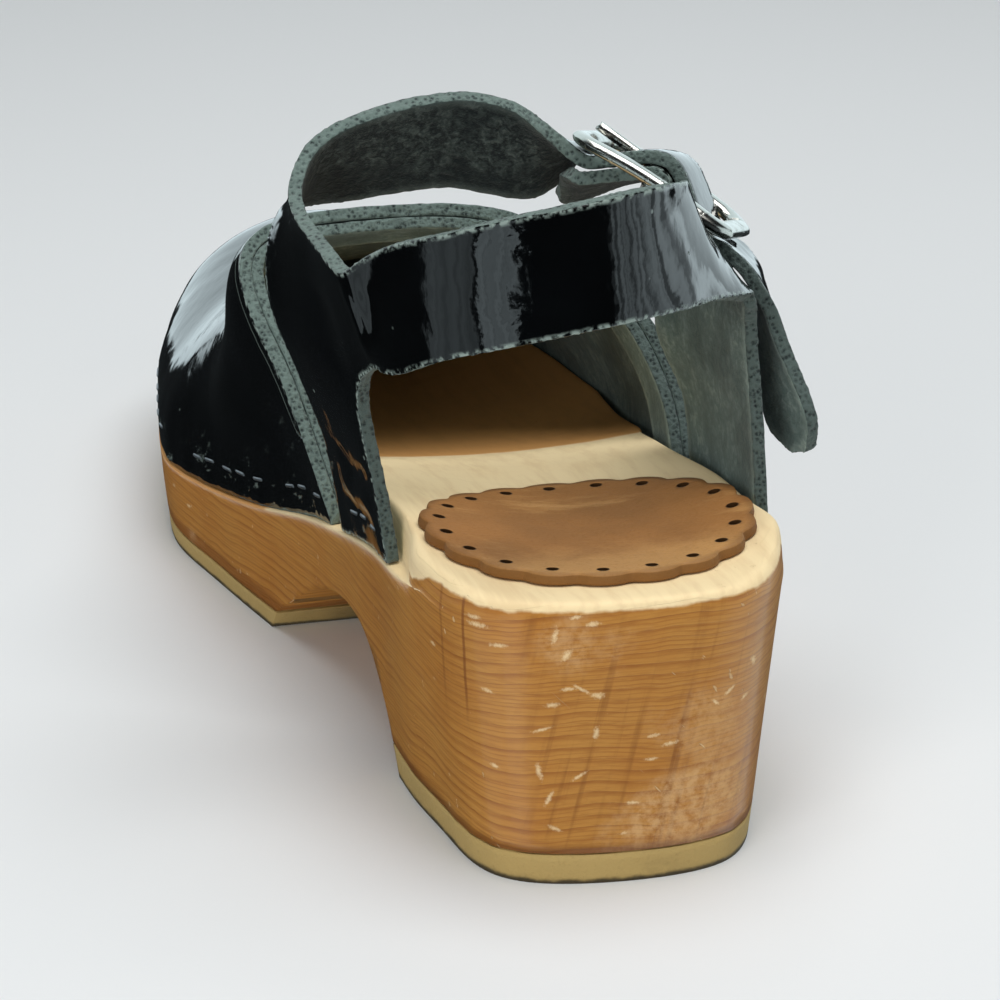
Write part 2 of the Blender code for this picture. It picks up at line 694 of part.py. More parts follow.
def band_lines(edges, columns):
    """Points across a band at each station along it, from smooth lines through its edges."""
    first = smooth([pair[0] for pair in edges], SLING_STEPS)
    second = smooth([pair[1] for pair in edges], SLING_STEPS)
    lines = []
    for start, end in zip(first, second):
        lines.append([start.lerp(end, step / columns) for step in range(columns + 1)])
    return lines


def add_band(bm, foot, tables):
    """Sheet of a leg from its foot up through its tables; returns its points, rear edge first."""
    rows = [row for table in tables for row in table]
    edges = [(foot[0], foot[-1])] + [edges_of(row) for row in rows]
    points = [foot] + band_lines(edges, SLING_COLUMNS)[1:]
    lines = [[bm.verts.new(point) for point in line] for line in points]
    for lower, upper in zip(lines, lines[1:]):
        bridge(bm, lower, upper)
    places = {row.where: (number + 1) * SLING_STEPS for number, row in enumerate(rows)}
    return [line[0] for line in lines], places


def build_sling(parts, cutters):
    bm = bmesh.new()
    strap_rows = bar_run(1, STRAP_REAR, STRAP_FRONT)
    inner_rear, inner_at = add_band(bm, leg_foot(INNER_FOOT, False), (INNER_BAND, strap_rows, FREE_END))
    outer_rear, outer_at = add_band(bm, leg_foot(OUTER_FOOT, True), (OUTER_BAND, arm_run()))
    start = inner_rear[inner_at["fork"]:inner_at["notch"] + 1]
    end = outer_rear[outer_at["fork"]:outer_at["low flank"] + 1]
    edges = [(start[0].co, start[-1].co)] + [edges_of(row) for row in HEEL_BAND] + [(end[0].co, end[-1].co)]
    columns = band_lines(edges, len(start) - 1)[1:-1]
    lines = [start] + [[bm.verts.new(point) for point in line] for line in columns] + [end]
    for before, after in zip(lines, lines[1:]):
        bridge(bm, before, after)
    bmesh.ops.recalc_face_normals(bm, faces=bm.faces)
    sling = make_part("ankle_sling", bm, "patent leather", parts)
    thicken(sling, SLING_WALL, 0.0)
    combine(sling, make_cutter("prong slot", prong_slot_bmesh(), cutters), "DIFFERENCE")
    combine(sling, make_cutter("prong hole", prong_hole_bmesh(), cutters), "DIFFERENCE")


def buckle_matrix(run, side, out):
    """Frame at a point of the buckle whose Z runs across the strap and whose X runs along it."""
    forward, across, outward = buckle_axes()
    turn = Matrix((forward, outward, across)).transposed().to_4x4()
    return Matrix.Translation(at_buckle(run, side, out)) @ turn


def bar_bmesh(radius, length, sides):
    bm = bmesh.new()
    bmesh.ops.create_cone(bm, cap_ends=True, segments=sides, radius1=radius * MM, radius2=radius * MM,
                          depth=length * MM, matrix=buckle_matrix(0, 0, BAR_HEIGHT))
    return bm


def prong_slot_bmesh():
    """Slot for the prong's curl in the leather folded round the bar."""
    return bar_bmesh(PRONG_CURL + PRONG_RADIUS + GAP, 2 * (PRONG_RADIUS + 2 * GAP), SLOT_SIDES)


def prong_hole_bmesh():
    """Punched hole of the instep strap, long enough for the prong to lie through."""
    bm = bmesh.new()
    wide = 2 * (PRONG_RADIUS + GAP)
    middle = buckle_matrix(-PRONG_HOLE / 2, 0, BAR_HEIGHT + PRONG_CURL + PRONG_RISE / 4)
    bmesh.ops.create_cube(bm, size=1.0)
    bmesh.ops.scale(bm, verts=bm.verts, vec=Vector((PRONG_HOLE, wide + PRONG_RISE / 2, wide)) * MM)
    bmesh.ops.transform(bm, matrix=middle, verts=bm.verts)
    return bm


def rail_line():
    """Middle line of the frame: a rounded rectangle with its long sides domed outwards."""
    half_length, half_width = BUCKLE_LENGTH / 2, BUCKLE_WIDTH / 2
    corners = ((1, 1), (-1, 1), (-1, -1), (1, -1))
    steps = 5
    line = []
    for number, (ahead, aside) in enumerate(corners):
        for step in range(steps + 1):
            turn = math.pi / 2 * (number + step / steps)
            run = ahead * (half_length - BUCKLE_CORNER) + BUCKLE_CORNER * math.cos(turn)
            side = aside * (half_width - BUCKLE_CORNER) + BUCKLE_CORNER * math.sin(turn)
            line.append((run, side))
        if aside * ahead > 0:
            straight_run = (half_length - BUCKLE_CORNER) * ahead
            line += [(straight_run * share, aside * half_width) for share in (0.5, 0.0, -0.5)]
    return [Vector((run, side, BUCKLE_DOME * (1 - (run / half_length) ** 2))) for run, side in line]


def build_buckle(parts, cutters):
    line = rail_line()
    bm = bmesh.new()
    loops = []
    for index, middle in enumerate(line):
        run = (line[(index + 1) % len(line)] - line[index - 1]).normalized()
        outside = Vector((run.y, -run.x, 0)).normalized()
        loop = []
        for side in range(RAIL_SIDES):
            turn = 2 * math.pi * side / RAIL_SIDES
            spot = middle + outside * math.cos(turn) * RAIL_WIDTH / 2
            spot.z += math.sin(turn) * RAIL_THICKNESS / 2
            loop.append(bm.verts.new(at_buckle(*spot)))
        loops.append(loop)
    for index, loop in enumerate(loops):
        bridge(bm, loop, loops[(index + 1) % len(loops)], closed=True)
    bmesh.ops.recalc_face_normals(bm, faces=bm.faces)
    frame = make_part("buckle_frame", bm, "nickel", parts)
    bar = make_cutter("centre bar", bar_bmesh(BAR_RADIUS, BUCKLE_WIDTH, BAR_SIDES), cutters)
    combine(frame, bar, "UNION")

    start, end = (math.radians(turn) for turn in CURL_TURNS)
    wire = []
    for step in range(CURL_STEPS + 1):
        turn = start + (end - start) * step / CURL_STEPS
        wire.append(at_buckle(PRONG_CURL * math.cos(turn), 0, BAR_HEIGHT + PRONG_CURL * math.sin(turn)))
    top = BAR_HEIGHT + PRONG_CURL
    wire += [at_buckle(-PRONG_LENGTH * share, 0, top + PRONG_RISE * share) for share in (0.25, 0.6, 1.0)]
    build_wire("buckle_prong", wire, PRONG_RADIUS, "nickel", parts)


def build_wire(name, points, radius, finish, parts):
    """Round wire through points, as a welded mesh."""
    curve = bpy.data.curves.new(f"{name} line", "CURVE")
    curve.dimensions = "3D"
    curve.bevel_depth = radius * MM
    curve.bevel_resolution = 2
    curve.use_fill_caps = True
    spline = curve.splines.new("POLY")
    spline.points.add(len(points) - 1)
    for spot, point in zip(spline.points, points):
        spot.co = (*point, 1.0)
    guide = bpy.data.objects.new(f"{name} line", curve)
    parts.objects.link(guide)
    mesh = bpy.data.meshes.new_from_object(guide.evaluated_get(bpy.context.evaluated_depsgraph_get()))
    bm = bmesh.new()
    bm.from_mesh(mesh)
    bmesh.ops.remove_doubles(bm, verts=bm.verts, dist=MERGE)
    bmesh.ops.recalc_face_normals(bm, faces=bm.faces)
    bpy.data.objects.remove(guide, do_unlink=True)
    make_part(name, bm, finish, parts)


def main():
    clear_scene()
    parts = new_collection("clog sandal")
    cutters = new_collection("cutters")
    sole = build_sole(parts, cutters)
    build_pad(parts, sole)
    build_vamp(parts)
    build_sling(parts, cutters)
    build_buckle(parts, cutters)


main()
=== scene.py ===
"""Clog sandal for the right foot: patent leather, varnished wood, rubber, nickel and staples."""
import math
from collections import namedtuple

import bmesh
import bpy
from bpy.props import FloatProperty, FloatVectorProperty, IntProperty, PointerProperty
from bpy.types import Operator, Panel, PropertyGroup
from mathutils import Matrix, Vector, noise
from mathutils.bvhtree import BVHTree
from mathutils.kdtree import KDTree


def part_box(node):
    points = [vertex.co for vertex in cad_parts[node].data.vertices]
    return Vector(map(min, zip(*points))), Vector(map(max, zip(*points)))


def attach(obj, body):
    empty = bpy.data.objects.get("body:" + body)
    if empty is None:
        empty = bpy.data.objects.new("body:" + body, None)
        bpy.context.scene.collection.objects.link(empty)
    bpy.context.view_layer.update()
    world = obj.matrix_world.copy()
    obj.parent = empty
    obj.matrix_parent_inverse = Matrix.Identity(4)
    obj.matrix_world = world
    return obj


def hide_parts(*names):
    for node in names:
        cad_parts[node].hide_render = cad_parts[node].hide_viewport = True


bl_info = {
    "name": "Clog sandal",
    "version": (1, 0, 0),
    "blender": (4, 5, 0),
    "location": "3D View > Sidebar > Clog",
    "description": "Dresses a clog sandal in leather, wood, rubber and metal, and sets its stage",
    "category": "Object",
}

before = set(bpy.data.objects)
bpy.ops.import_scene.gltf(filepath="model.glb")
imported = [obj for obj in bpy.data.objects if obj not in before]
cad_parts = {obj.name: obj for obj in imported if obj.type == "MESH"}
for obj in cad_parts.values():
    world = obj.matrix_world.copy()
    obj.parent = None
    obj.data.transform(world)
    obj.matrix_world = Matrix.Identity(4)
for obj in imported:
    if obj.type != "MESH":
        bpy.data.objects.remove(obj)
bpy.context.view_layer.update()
MM = 0.001
MERGE = 0.000001             # metres, for points that are the same point
HOLE_DEPTH = 0.0012          # of the holes punched in the heel pad, in metres like all sizes here
TOE_CENTRE = 0.175           # of the staples' turn round the toe, on the middle line
NOISE_SEED = 11
FIT_ROUNDS = 3
FIT_REACH = 0.0008           # longest move of a point in a round
FOLD_ANGLE = math.radians(52.0)  # faces that meet at more than this belong to different sides
OUTER, EDGE = 0, 2           # slots of a leather piece's outer side and raw edges, its inner side is 1
FOLD_REACH = 2.6             # half widths, or reaches, beyond which a fold or bend is not felt
TRAIL_STEP = 0.6 * MM        # distance between the points of a fold's line
RAY_LENGTH = 0.1             # of the rays that find the staples' places
LONGEST_GAP = 0.02           # between two places that belong to one row of staples
BACK_ROWS = (0.042, 0.0446)  # heights between which the wood's back has two close rows of points
BACK_MERGE = 0.0006          # distance at which they become one row

Fold = namedtuple("Fold", "where half_width height points")
Stop = namedtuple("Stop", "along height")
Fleck = namedtuple("Fleck", "x z half_length half_width turn")
Nudge = namedtuple("Nudge", "where place reach move")
Lamp = namedtuple("Lamp", "name place aim width depth radiance colour mirrored")
Glow = namedtuple("Glow", "name turn half radiance rag stripes")

# Soft folds of the vamp: half width and height in millimetres, points near the leather
VAMP_FOLDS = (
    Fold("joint fold inner", 4.5, -0.35, ((-40, 118, 38), (-33, 122, 52), (-18, 126, 58), (2, 128, 55))),
    Fold("joint fold middle", 4.0, -0.45, ((-30, 134, 48), (-14, 137, 55), (4, 139, 52), (22, 136, 44))),
    Fold("joint ridge", 4.0, 0.35, ((-28, 128, 52), (-14, 132, 57), (10, 134, 53), (26, 130, 44))),
    Fold("joint fold outer", 3.6, -0.45, ((36, 118, 34), (28, 124, 48), (14, 128, 54))),
    Fold("throat dip outer", 4.5, -0.4, ((32, 80, 44), (30, 86, 56), (20, 90, 68))),
    Fold("inner side swell", 9.0, 0.4, ((-42, 96, 34), (-42, 108, 44), (-38, 116, 52))),
)

# Soft folds of the ankle sling
SLING_FOLDS = (
    Fold("bend at the notch", 0.8, 0.5,
         ((-38.9, 10.5, 95.2), (-37.2, 9.4, 90), (-35.2, 9.2, 84.5), (-33.6, 10, 80))),
    Fold("dip beside the bend", 2.6, -0.3, ((-36.6, 6.2, 95), (-34.6, 5.4, 89), (-33, 5.6, 84))),
    Fold("fork dip", 5.0, -0.45, ((-38, 24, 90), (-37, 26, 82), (-35.6, 28, 72))),
    Fold("foot fold inner", 1.6, -0.45, ((-31.5, 22, 56), (-33, 34, 53), (-33.5, 44, 55))),
    Fold("foot ridge inner", 1.5, 0.4, ((-31, 23, 51), (-32, 36, 48), (-32, 46, 49))),
    Fold("foot fold low", 1.3, -0.35, ((-30.5, 24, 47), (-31, 34, 45), (-31, 44, 43))),
    Fold("back dip inner", 5.0, -0.3, ((-18, -15, 110), (-17.4, -15.6, 100), (-17, -16, 91))),
    Fold("back dip outer", 5.0, -0.25, ((9, -11, 112), (9.6, -11, 102), (10, -10.6, 91))),
    Fold("outer bend", 3.6, -0.35, ((17, 8, 104), (21, 7, 96), (25, 8, 86))),
    Fold("leg fold outer", 3.4, -0.45, ((33, 17, 78), (33.6, 24, 70), (34, 33, 64))),
    Fold("leg swell outer", 3.0, 0.35, ((33.6, 16, 64), (34.4, 24, 60), (34.6, 36, 58))),
    Fold("free end curl", 3.0, -0.3, ((39, 21, 68), (40, 26, 66), (39.6, 32, 64))),
)

# Small bends of the ankle sling: place, reach and move in millimetres
SLING_NUDGES = (
    Nudge("front of the outer leg", (29.9, 55.0, 69.0), 8.0, (-2.6, 0.4, 0.0)),
    Nudge("front of the outer leg, lower", (31.0, 55.3, 60.0), 6.0, (-0.8, 0.3, 0.0)),
    Nudge("rear of the free end", (33.5, 21.0, 84.5), 4.5, (-1.3, -0.8, 0.4)),
)

# Heights in metres between which the raw edges turn from darker to paler
VAMP_DARKER_BELOW = (0.024, 0.030)
SLING_DARKER_BELOW = (0.070, 0.092)

# Pale flecks on the heel's back: place, half length, half width in millimetres, turn in degrees
FLECKS = tuple(Fleck(*row) for row in (
    (-21.3, 42.0, 1.3, 0.40, -8), (-24.0, 44.7, 1.2, 0.45, -5), (-24.5, 45.8, 0.9, 0.35, -10),
    (-7.4, 46.2, 1.1, 0.50, -4), (-9.9, 47.4, 1.0, 0.35, -12), (-13.2, 44.4, 0.5, 1.4, 12),
    (-11.4, 41.0, 0.6, 1.2, 35), (20.3, 35.7, 0.6, 0.9, -20), (15.7, 31.8, 1.3, 0.35, -38),
    (18.8, 29.8, 0.8, 0.40, -30), (-6.4, 33.8, 1.2, 0.55, 8), (-11.0, 35.1, 1.2, 0.35, -6),
    (-8.9, 35.0, 1.6, 0.30, 32), (-13.4, 32.3, 1.1, 0.45, -6), (-15.2, 20.5, 0.45, 1.5, -14),
    (-6.5, 27.2, 0.5, 1.1, 10), (-21.4, 20.4, 0.7, 0.35, 20), (-12.6, 10.2, 1.2, 0.40, 24),
    (-0.3, 14.2, 1.1, 0.35, 5), (2.6, 21.8, 1.2, 0.30, 0), (-22.6, 33.6, 0.8, 0.35, 15),
    (-13.6, 15.6, 0.4, 1.5, 24), (-9.0, 19.6, 1.5, 0.30, -36), (-14.9, 27.9, 1.6, 0.30, -20),
    (5.6, 24.2, 1.4, 0.40, -10), (13.2, 30.3, 0.9, 0.30, 40),
))

# Where the worn stain of the footbed starts in metres, and how far it slants
STAIN_START = 0.0805
STAIN_SLANT = 0.25

# Lower limit of the raw wood: behind the seat it runs under the rim, further on along the rebate's ledge
RAW_LIMIT = tuple(Stop(*row) for row in (
    (-27, 48.0), (-4, 47.6), (4, 44.6), (14, 42.1), (33, 39.1), (53, 34.5), (75, 29.3),
    (98, 23.3), (123, 19.0), (148, 17.3), (178, 18.7), (203, 22.3), (221, 25.3),
))

# Lamps of the stage: place, point they face, size in metres, radiance
LAMPS = (
    Lamp("Overhead box", (0.10, -0.02, 1.05), (0.0, 0.05, 0.0), 0.9, 0.9, 3.95, (0.99, 1.0, 1.0), True),
    Lamp("Rear fill", (0.25, -1.25, 0.80), (0.0, 0.04, 0.04), 1.3, 0.8, 0.80, (1.0, 0.99, 0.97), True),
    Lamp("Inner fill", (-0.85, -0.90, 0.45), (0.0, 0.0, 0.03), 0.6, 0.6, 5.0, (1.0, 0.99, 0.98), False),
)

# Bright panels that gloss mirrors: turn from behind the heel to the outer side, half width, in degrees
PANELS = (
    Glow("dim wall", -84.0, 22.0, 0.85, 0.15, 0.3),
    Glow("bright curtain", -49.0, 12.0, 2.0, 0.8, 0.45),
    Glow("striped curtain", 84.0, 40.0, 1.55, 0.35, 0.72),
)


def tint(red, green, blue):
    """Scene colour of a screen colour given in bytes."""
    shares = (red / 255, green / 255, blue / 255)
    return tuple(c / 12.92 if c <= 0.04045 else ((c + 0.055) / 1.055) ** 2.4 for c in shares)


def shade_of(tone, strength):
    """Colour made darker or lighter."""
    return tuple(strength * c for c in tone)


def colour(name, description, default):
    """Colour of a look."""
    return FloatVectorProperty(name=name, description=description, default=default, subtype="COLOR", size=3,
                               min=0.0, max=1.0)


def length(name, description, default):
    """Length of a look, in metres."""
    return FloatProperty(name=name, description=description, default=default, min=0.0, unit="LENGTH",
                         precision=5)


def share(name, description, default, most=1.0):
    """Share of a look, from none to the most it may be."""
    return FloatProperty(name=name, description=description, default=default, min=0.0, max=most,
                         subtype="FACTOR")


class LeatherLook(PropertyGroup):
    """Colours and wear of the leather"""
    patent: colour("Patent", "Colour of the lacquered side", tint(4, 5, 6))
    flesh: colour("Flesh side", "Colour of the rough side", tint(98, 120, 116))
    # Dark flesh colour: painted shade on the rough side inside the straps; on the raw edges it also darkens
    # the specks, the lower parts and, as painted shade, the outer side
    dark_and_painted_shade: colour("Dark flesh side", "Colour of the rough side inside the straps", tint(20, 31, 33))
    nap: colour("Nap", "Colour of the raised fibres", tint(168, 186, 178))
    cut: colour("Cut edge", "Colour of the raw cut edges", tint(114, 132, 126))
    gloss: share("Lacquer roughness", "Roughness of the lacquer", 0.05)
    peel: length("Lacquer waves", "Height of the small waves in the lacquer", 0.00008)
    groove: length("Groove", "Distance of the groove from the throat's edge", 0.0026)
    level: IntProperty(name="Rounding", description="Times leather is subdivided", default=3, min=1, max=4)


class WoodLook(PropertyGroup):
    """Colours of the wooden sole, its rubber and its pad"""
    varnish: colour("Varnish", "Colour of the varnished sides", tint(196, 139, 62))
    glow: colour("Warm varnish", "Colour where the varnish is thick", tint(184, 117, 38))
    line: colour("Growth line", "Colour of the growth lines", tint(150, 86, 28))
    ray: colour("Ray", "Colour of the rays, cracks and the lower edge", tint(126, 68, 20))
    scuff: colour("Scuff", "Colour of the rubbed varnish", tint(224, 184, 132))
    raw: colour("Raw wood", "Colour of the bare rim and seat", tint(252, 228, 180))
    worn: colour("Stained footbed", "Colour of the footbed under the toes", tint(226, 166, 98))
    pitch: length("Ring width", "Distance between growth lines", 0.0019)
    rubber: colour("Rubber", "Colour of the rubber", tint(190, 162, 102))
    # Colour that darkens the rubber along its lower edge and on its underside
    bottom_dark: colour("Dirt", "Colour of the dirt on the rubber", tint(52, 44, 34))
    pad: colour("Heel pad", "Colour of the heel pad", tint(168, 115, 60))
    # Lighter pad colour: rubbed leather in streaks, and painted light towards the raised heel end
    rubbed: colour("Rubbed pad", "Colour of the rubbed leather of the pad", tint(226, 176, 108))
    slots: IntProperty(name="Holes", description="Punched holes round the heel pad", default=19, min=3)
    punch: length("Hole", "Diameter of a punched hole", 0.0021)
    inset: length("Hole inset", "Distance of the holes from the pad's edge", 0.0034)


class MetalLook(PropertyGroup):
    """Colours and sizes of the buckle and the staples"""
    nickel: colour("Nickel", "Colour of the buckle", tint(186, 186, 180))
    steel: colour("Steel", "Colour of the staples", tint(128, 130, 133))
    crown: length("Crown", "Length of a staple", 0.0044)
    wire: length("Wire", "Thickness of a staple", 0.0008)
    spacing: length("Spacing", "Distance from staple to staple", 0.0074)
    height: length("Height", "Height of the staples over the leather's lower edge", 0.0052)


class StageLook(PropertyGroup):
    """Floor, light and camera"""
    floor: colour("Floor", "Colour of the floor", tint(232, 234, 235))
    haze: colour("Background", "Colour behind the floor", tint(199, 204, 207))
    gleam: colour("Gleam", "Colour of the panels that gloss mirrors", (0.80, 0.95, 1.0))
    fade: length("Fade", "Distance at which the floor starts to fade into the backdrop", 0.65)
    ambient: share("Ambient", "Strength of the light from all sides", 0.24)
    backdrop: share("Backdrop", "Brightness of the backdrop that gloss mirrors", 1.25, 4.0)
    place: FloatVectorProperty(name="Camera", description="Place of the camera",
                               default=(-0.1562, -0.5547, 0.28), subtype="XYZ", unit="LENGTH")
    aim: FloatVectorProperty(name="Aim", description="Point in the middle of the picture",
                             default=(-0.011, 0.02, 0.0505), subtype="XYZ", unit="LENGTH")
    lens: FloatProperty(name="Lens", description="Focal length in millimetres", default=138.0, min=1.0)


def joined(operation, swapped=False):
    """Method that joins a value and another one in a Math node."""
    def join(self, other):
        first, second = (other, self) if swapped else (self, other)
        return self.reckon(operation, first, second)
    return join


class Value:
    """A socket that takes part in sums."""

    def __init__(self, nodes, socket):
        self.nodes = nodes
        self.socket = socket

    def reckon(self, operation, first, second):
        """Math node of two values."""
        node = self.nodes.node("ShaderNodeMath", {"operation": operation}, {0: first, 1: second})
        return Value(self.nodes, node.outputs[0])

    __add__ = joined("ADD")
    __radd__ = joined("ADD", True)
    __sub__ = joined("SUBTRACT")
    __rsub__ = joined("SUBTRACT", True)
    __mul__ = joined("MULTIPLY")
    __rmul__ = joined("MULTIPLY", True)
    __truediv__ = joined("DIVIDE")
    __mod__ = joined("FLOORED_MODULO")
    __pow__ = joined("POWER")

    def __abs__(self):
        return self.reckon("ABSOLUTE", self, 0.0)

    def larger(self, other):
        """The larger of two values."""
        return self.reckon("MAXIMUM", self, other)

    def rise(self, low, high):
        """Smooth rise from 0 at the low value to 1 at the high one."""
        if low > high:
            return 1.0 - self.rise(high, low)
        node = self.nodes.node("ShaderNodeMapRange", {"interpolation_type": "SMOOTHSTEP"}, {
            "Value": self, "From Min": low, "From Max": high})
        return Value(self.nodes, node.outputs[0])


class Nodes:
    """A node tree written as sums on its sockets."""

    def __init__(self, tree):
        self.tree = tree
        self.tree.nodes.clear()
        self.place = None

    def split(self, vector):
        """The three numbers of a vector."""
        parts = self.node("ShaderNodeSeparateXYZ", {}, {0: vector})
        return [Value(self, socket) for socket in parts.outputs]

    def node(self, kind, settings=None, inputs=None):
        """Node of a kind with its settings, then the values or links of its sockets."""
        node = self.tree.nodes.new(kind)
        for key, value in (settings or {}).items():
            if key == "stops":
                ramp = node.color_ramp
                while len(ramp.elements) < len(value):
                    ramp.elements.new(1.0)
                for element, (position, shade) in zip(ramp.elements, value):
                    element.position = position
                    element.color = (*shade, 1.0)
            else:
                setattr(node, key, value)
        for key, value in (inputs or {}).items():
            self.feed(node.inputs[key], value)
        return node

    def feed(self, socket, value):
        """Give a socket a link or a value."""
        if isinstance(value, Value):
            value = value.socket
        if isinstance(value, bpy.types.NodeSocket):
            self.tree.links.new(value, socket)
        elif socket.type == "RGBA":
            socket.default_value = (*value[:3], 1.0)
        else:
            socket.default_value = value

    def spot(self, stretch=(1.0, 1.0, 1.0), turn=(0.0, 0.0, 0.0)):
        """Object coordinates turned, then stretched."""
        turned = self.node("ShaderNodeMapping", {}, {"Vector": self.place, "Rotation": turn})
        node = self.node("ShaderNodeVectorMath", {"operation": "MULTIPLY"}, {
            0: turned.outputs[0], 1: stretch})
        return node.outputs[0]

    def noise(self, scale, detail=3.0, rough=0.5, at=None, warp=0.0):
        """Noise from 0 to 1 with a number of waves for each metre."""
        node = self.node("ShaderNodeTexNoise", {}, {
            "Vector": at or self.place, "Scale": scale, "Detail": detail, "Roughness": rough,
            "Distortion": warp})
        return Value(self, node.outputs["Fac"])

    def cells(self, scale, at=None):
        """Distance to the nearest of scattered points, and a random number for each point."""
        node = self.node("ShaderNodeTexVoronoi", {}, {"Vector": at or self.place, "Scale": scale})
        pick = self.node("ShaderNodeSeparateColor", {}, {0: node.outputs["Color"]})
        return Value(self, node.outputs["Distance"]), Value(self, pick.outputs[0])

    def streaks(self, scale, detail, rough, stretch, turn, low, high):
        """Stretched noise that rises from 0 at the low value to 1 at the high one."""
        return self.noise(scale, detail, rough, self.spot(stretch, turn)).rise(low, high)

    def mix(self, share_of_second, first, second):
        """Colour between two colours."""
        node = self.node("ShaderNodeMix", {"data_type": "RGBA"}, {0: share_of_second, 6: first, 7: second})
        return node.outputs[2]

    def layers(self, base, *coats):
        """Colour under coats, each a share and a colour."""
        for part, tone in coats:
            base = self.mix(part, base, tone)
        return base

    def bump(self, height, distance):
        """Normal of a surface raised by a height from 0 to 1 over a distance in metres."""
        return self.node("ShaderNodeBump", {}, {"Height": height, "Distance": distance}).outputs[0]


class Finish(Nodes):
    """A material of one shader."""

    def __init__(self, name, **constants):
        self.material = bpy.data.materials.new(name)
        self.material.use_nodes = True
        super().__init__(self.material.node_tree)
        self.shader = self.node("ShaderNodeBsdfPrincipled")
        self.wear(**constants)
        self.node("ShaderNodeOutputMaterial", {}, {"Surface": self.shader.outputs["BSDF"]})
        self.place = self.node("ShaderNodeTexCoord").outputs["Object"]
        self.x, self.y, self.z = self.split(self.place)

    def wear(self, **inputs):
        """Feed the shader's own sockets."""
        for key, value in inputs.items():
            self.feed(self.shader.inputs[key.replace("_", " ")], value)
        return self.material

    def mark(self, name):
        """Number kept on the points of a piece."""
        return Value(self, self.node("ShaderNodeAttribute", {"attribute_name": name}).outputs["Fac"])

    def spread(self, place, reach, turn=0.0):
        """Distance from a place in its own reaches, the same all along Y."""
        node = self.node("ShaderNodeMapping", {"vector_type": "TEXTURE"}, {
            "Vector": self.place, "Location": (place[0], 0.0, place[1]), "Rotation": (0.0, turn, 0.0),
            "Scale": (reach[0], 1.0, reach[1])})
        away = self.node("ShaderNodeVectorMath", {"operation": "LENGTH"}, {0: node.outputs[0]})
        return Value(self, away.outputs["Value"])

    def facing_up(self):
        """Upward part of the surface's own direction."""
        return self.split(self.node("ShaderNodeNewGeometry").outputs["Normal"])[2]


def patent_finish(look, name, groove=False):
    """Black lacquered leather with small waves, scuffs and dull spots."""
    finish = Finish(name, IOR=1.45)
    waves = finish.noise(330.0, 2.0, 0.4)
    smudge = finish.noise(55.0, 4.0, 0.6)
    scratch = finish.streaks(90.0, 3.0, 0.6, (1.0, 9.0, 1.6), (0.4, 0.2, 0.5), 0.71, 0.75)
    near, pick = finish.cells(240.0)
    nick = near.rise(0.12, 0.06) * pick.rise(0.93, 0.95)
    edge = finish.mark("edge")
    worn = edge.rise(0.0010, 0.0002) * finish.noise(900.0).rise(0.4, 0.62)
    foot = finish.mark("foot").rise(0.014, 0.002)
    creased = foot * finish.streaks(420.0, 4.0, 0.7, (1.0, 0.4, 1.0), (0.5, 0.0, 0.0), 0.60, 0.72)
    pale = (nick * 0.4 + scratch * 0.05).larger(worn * 0.7).larger(creased * 0.35)
    height = waves * 0.7 - nick * 0.5 + finish.noise(2600.0, 2.0) * 0.05 - creased * 0.8
    if groove:
        line = abs(edge - look.groove).rise(0.00034, 0.00012)
        height = height - line * 2.2
        pale = pale.larger(line * 0.22)
    black = finish.mix(smudge.rise(0.35, 0.75), look.patent, shade_of(look.patent, 1.7))
    return finish.wear(
        Base_Color=finish.mix(pale, black, look.nap),
        Roughness=(look.gloss + smudge.rise(0.5, 0.8) * 0.06 + scratch * 0.1 + worn * 0.35
                   + nick * 0.3 + creased * 0.2),
        Normal=finish.bump(height, look.peel))


def flesh_finish(look, name):
    """Rough grey side of the leather with a raised nap, and painted shade inside the straps above a height.
    """
    finish = Finish(name, Sheen_Weight=0.12, Sheen_Roughness=0.5, IOR=1.35)
    nap = finish.noise(1500.0, 4.0, 0.7)
    tufts = finish.noise(620.0, 3.0, 0.62, None, 0.6)
    cloud = finish.noise(80.0, 4.0, 0.6)
    streak = finish.noise(260.0, 4.0, 0.65, finish.spot((1.0, 1.0, 0.5))).rise(0.52, 0.72)
    lit = tufts.rise(0.40, 0.72) * 0.5 + nap.rise(0.48, 0.8) * 0.5
    pale = lit * (0.15 + cloud.rise(0.42, 0.66) * 0.75) + streak * 0.2
    near_edge = finish.mark("edge").rise(0.0020, 0.0002)
    # Painted shade: above this height, inside the instep strap, the rough side darkens and loses its pale
    # nap
    dark = finish.z.rise(0.074, 0.088)
    shade = finish.mix(cloud.rise(0.62, 0.36) * 0.5, look.flesh, shade_of(look.flesh, 0.32))
    shade = finish.mix(dark, shade, look.dark_and_painted_shade)
    return finish.wear(
        Base_Color=finish.mix((pale + near_edge * 0.3) * (1.0 - dark * 0.6), shade, look.nap),
        Roughness=0.98 - nap * 0.1,
        Normal=finish.bump(nap * 0.45 + tufts * 0.55, 0.0007))


def cut_finish(look, name, low, high):
    """Fibrous raw edge of the leather, darker below a height, with painted shade on the outer side."""
    finish = Finish(name, Sheen_Weight=0.15, Sheen_Roughness=0.5, IOR=1.35)
    # Darker below a height; the darkening towards the outer side is painted shade
    darker_low_and_painted_shade = finish.z.rise(high, low).larger(finish.x.rise(0.012, 0.026))
    fibre = finish.noise(2100.0, 4.0, 0.7)
    flecks, _ = finish.cells(1150.0)
    patch = finish.noise(190.0, 3.0)
    dark = flecks.rise(0.62, 0.15) * fibre.rise(0.68, 0.42)
    shade = (dark * 0.85 + patch.rise(0.5, 0.75) * 0.22).larger(darker_low_and_painted_shade * (0.45 + dark * 0.5))
    return finish.wear(
        Base_Color=finish.mix(shade, look.cut, look.dark_and_painted_shade),
        Roughness=0.97 - fibre * 0.1,
        Normal=finish.bump(fibre * 0.5 + flecks * 0.5, 0.0008))


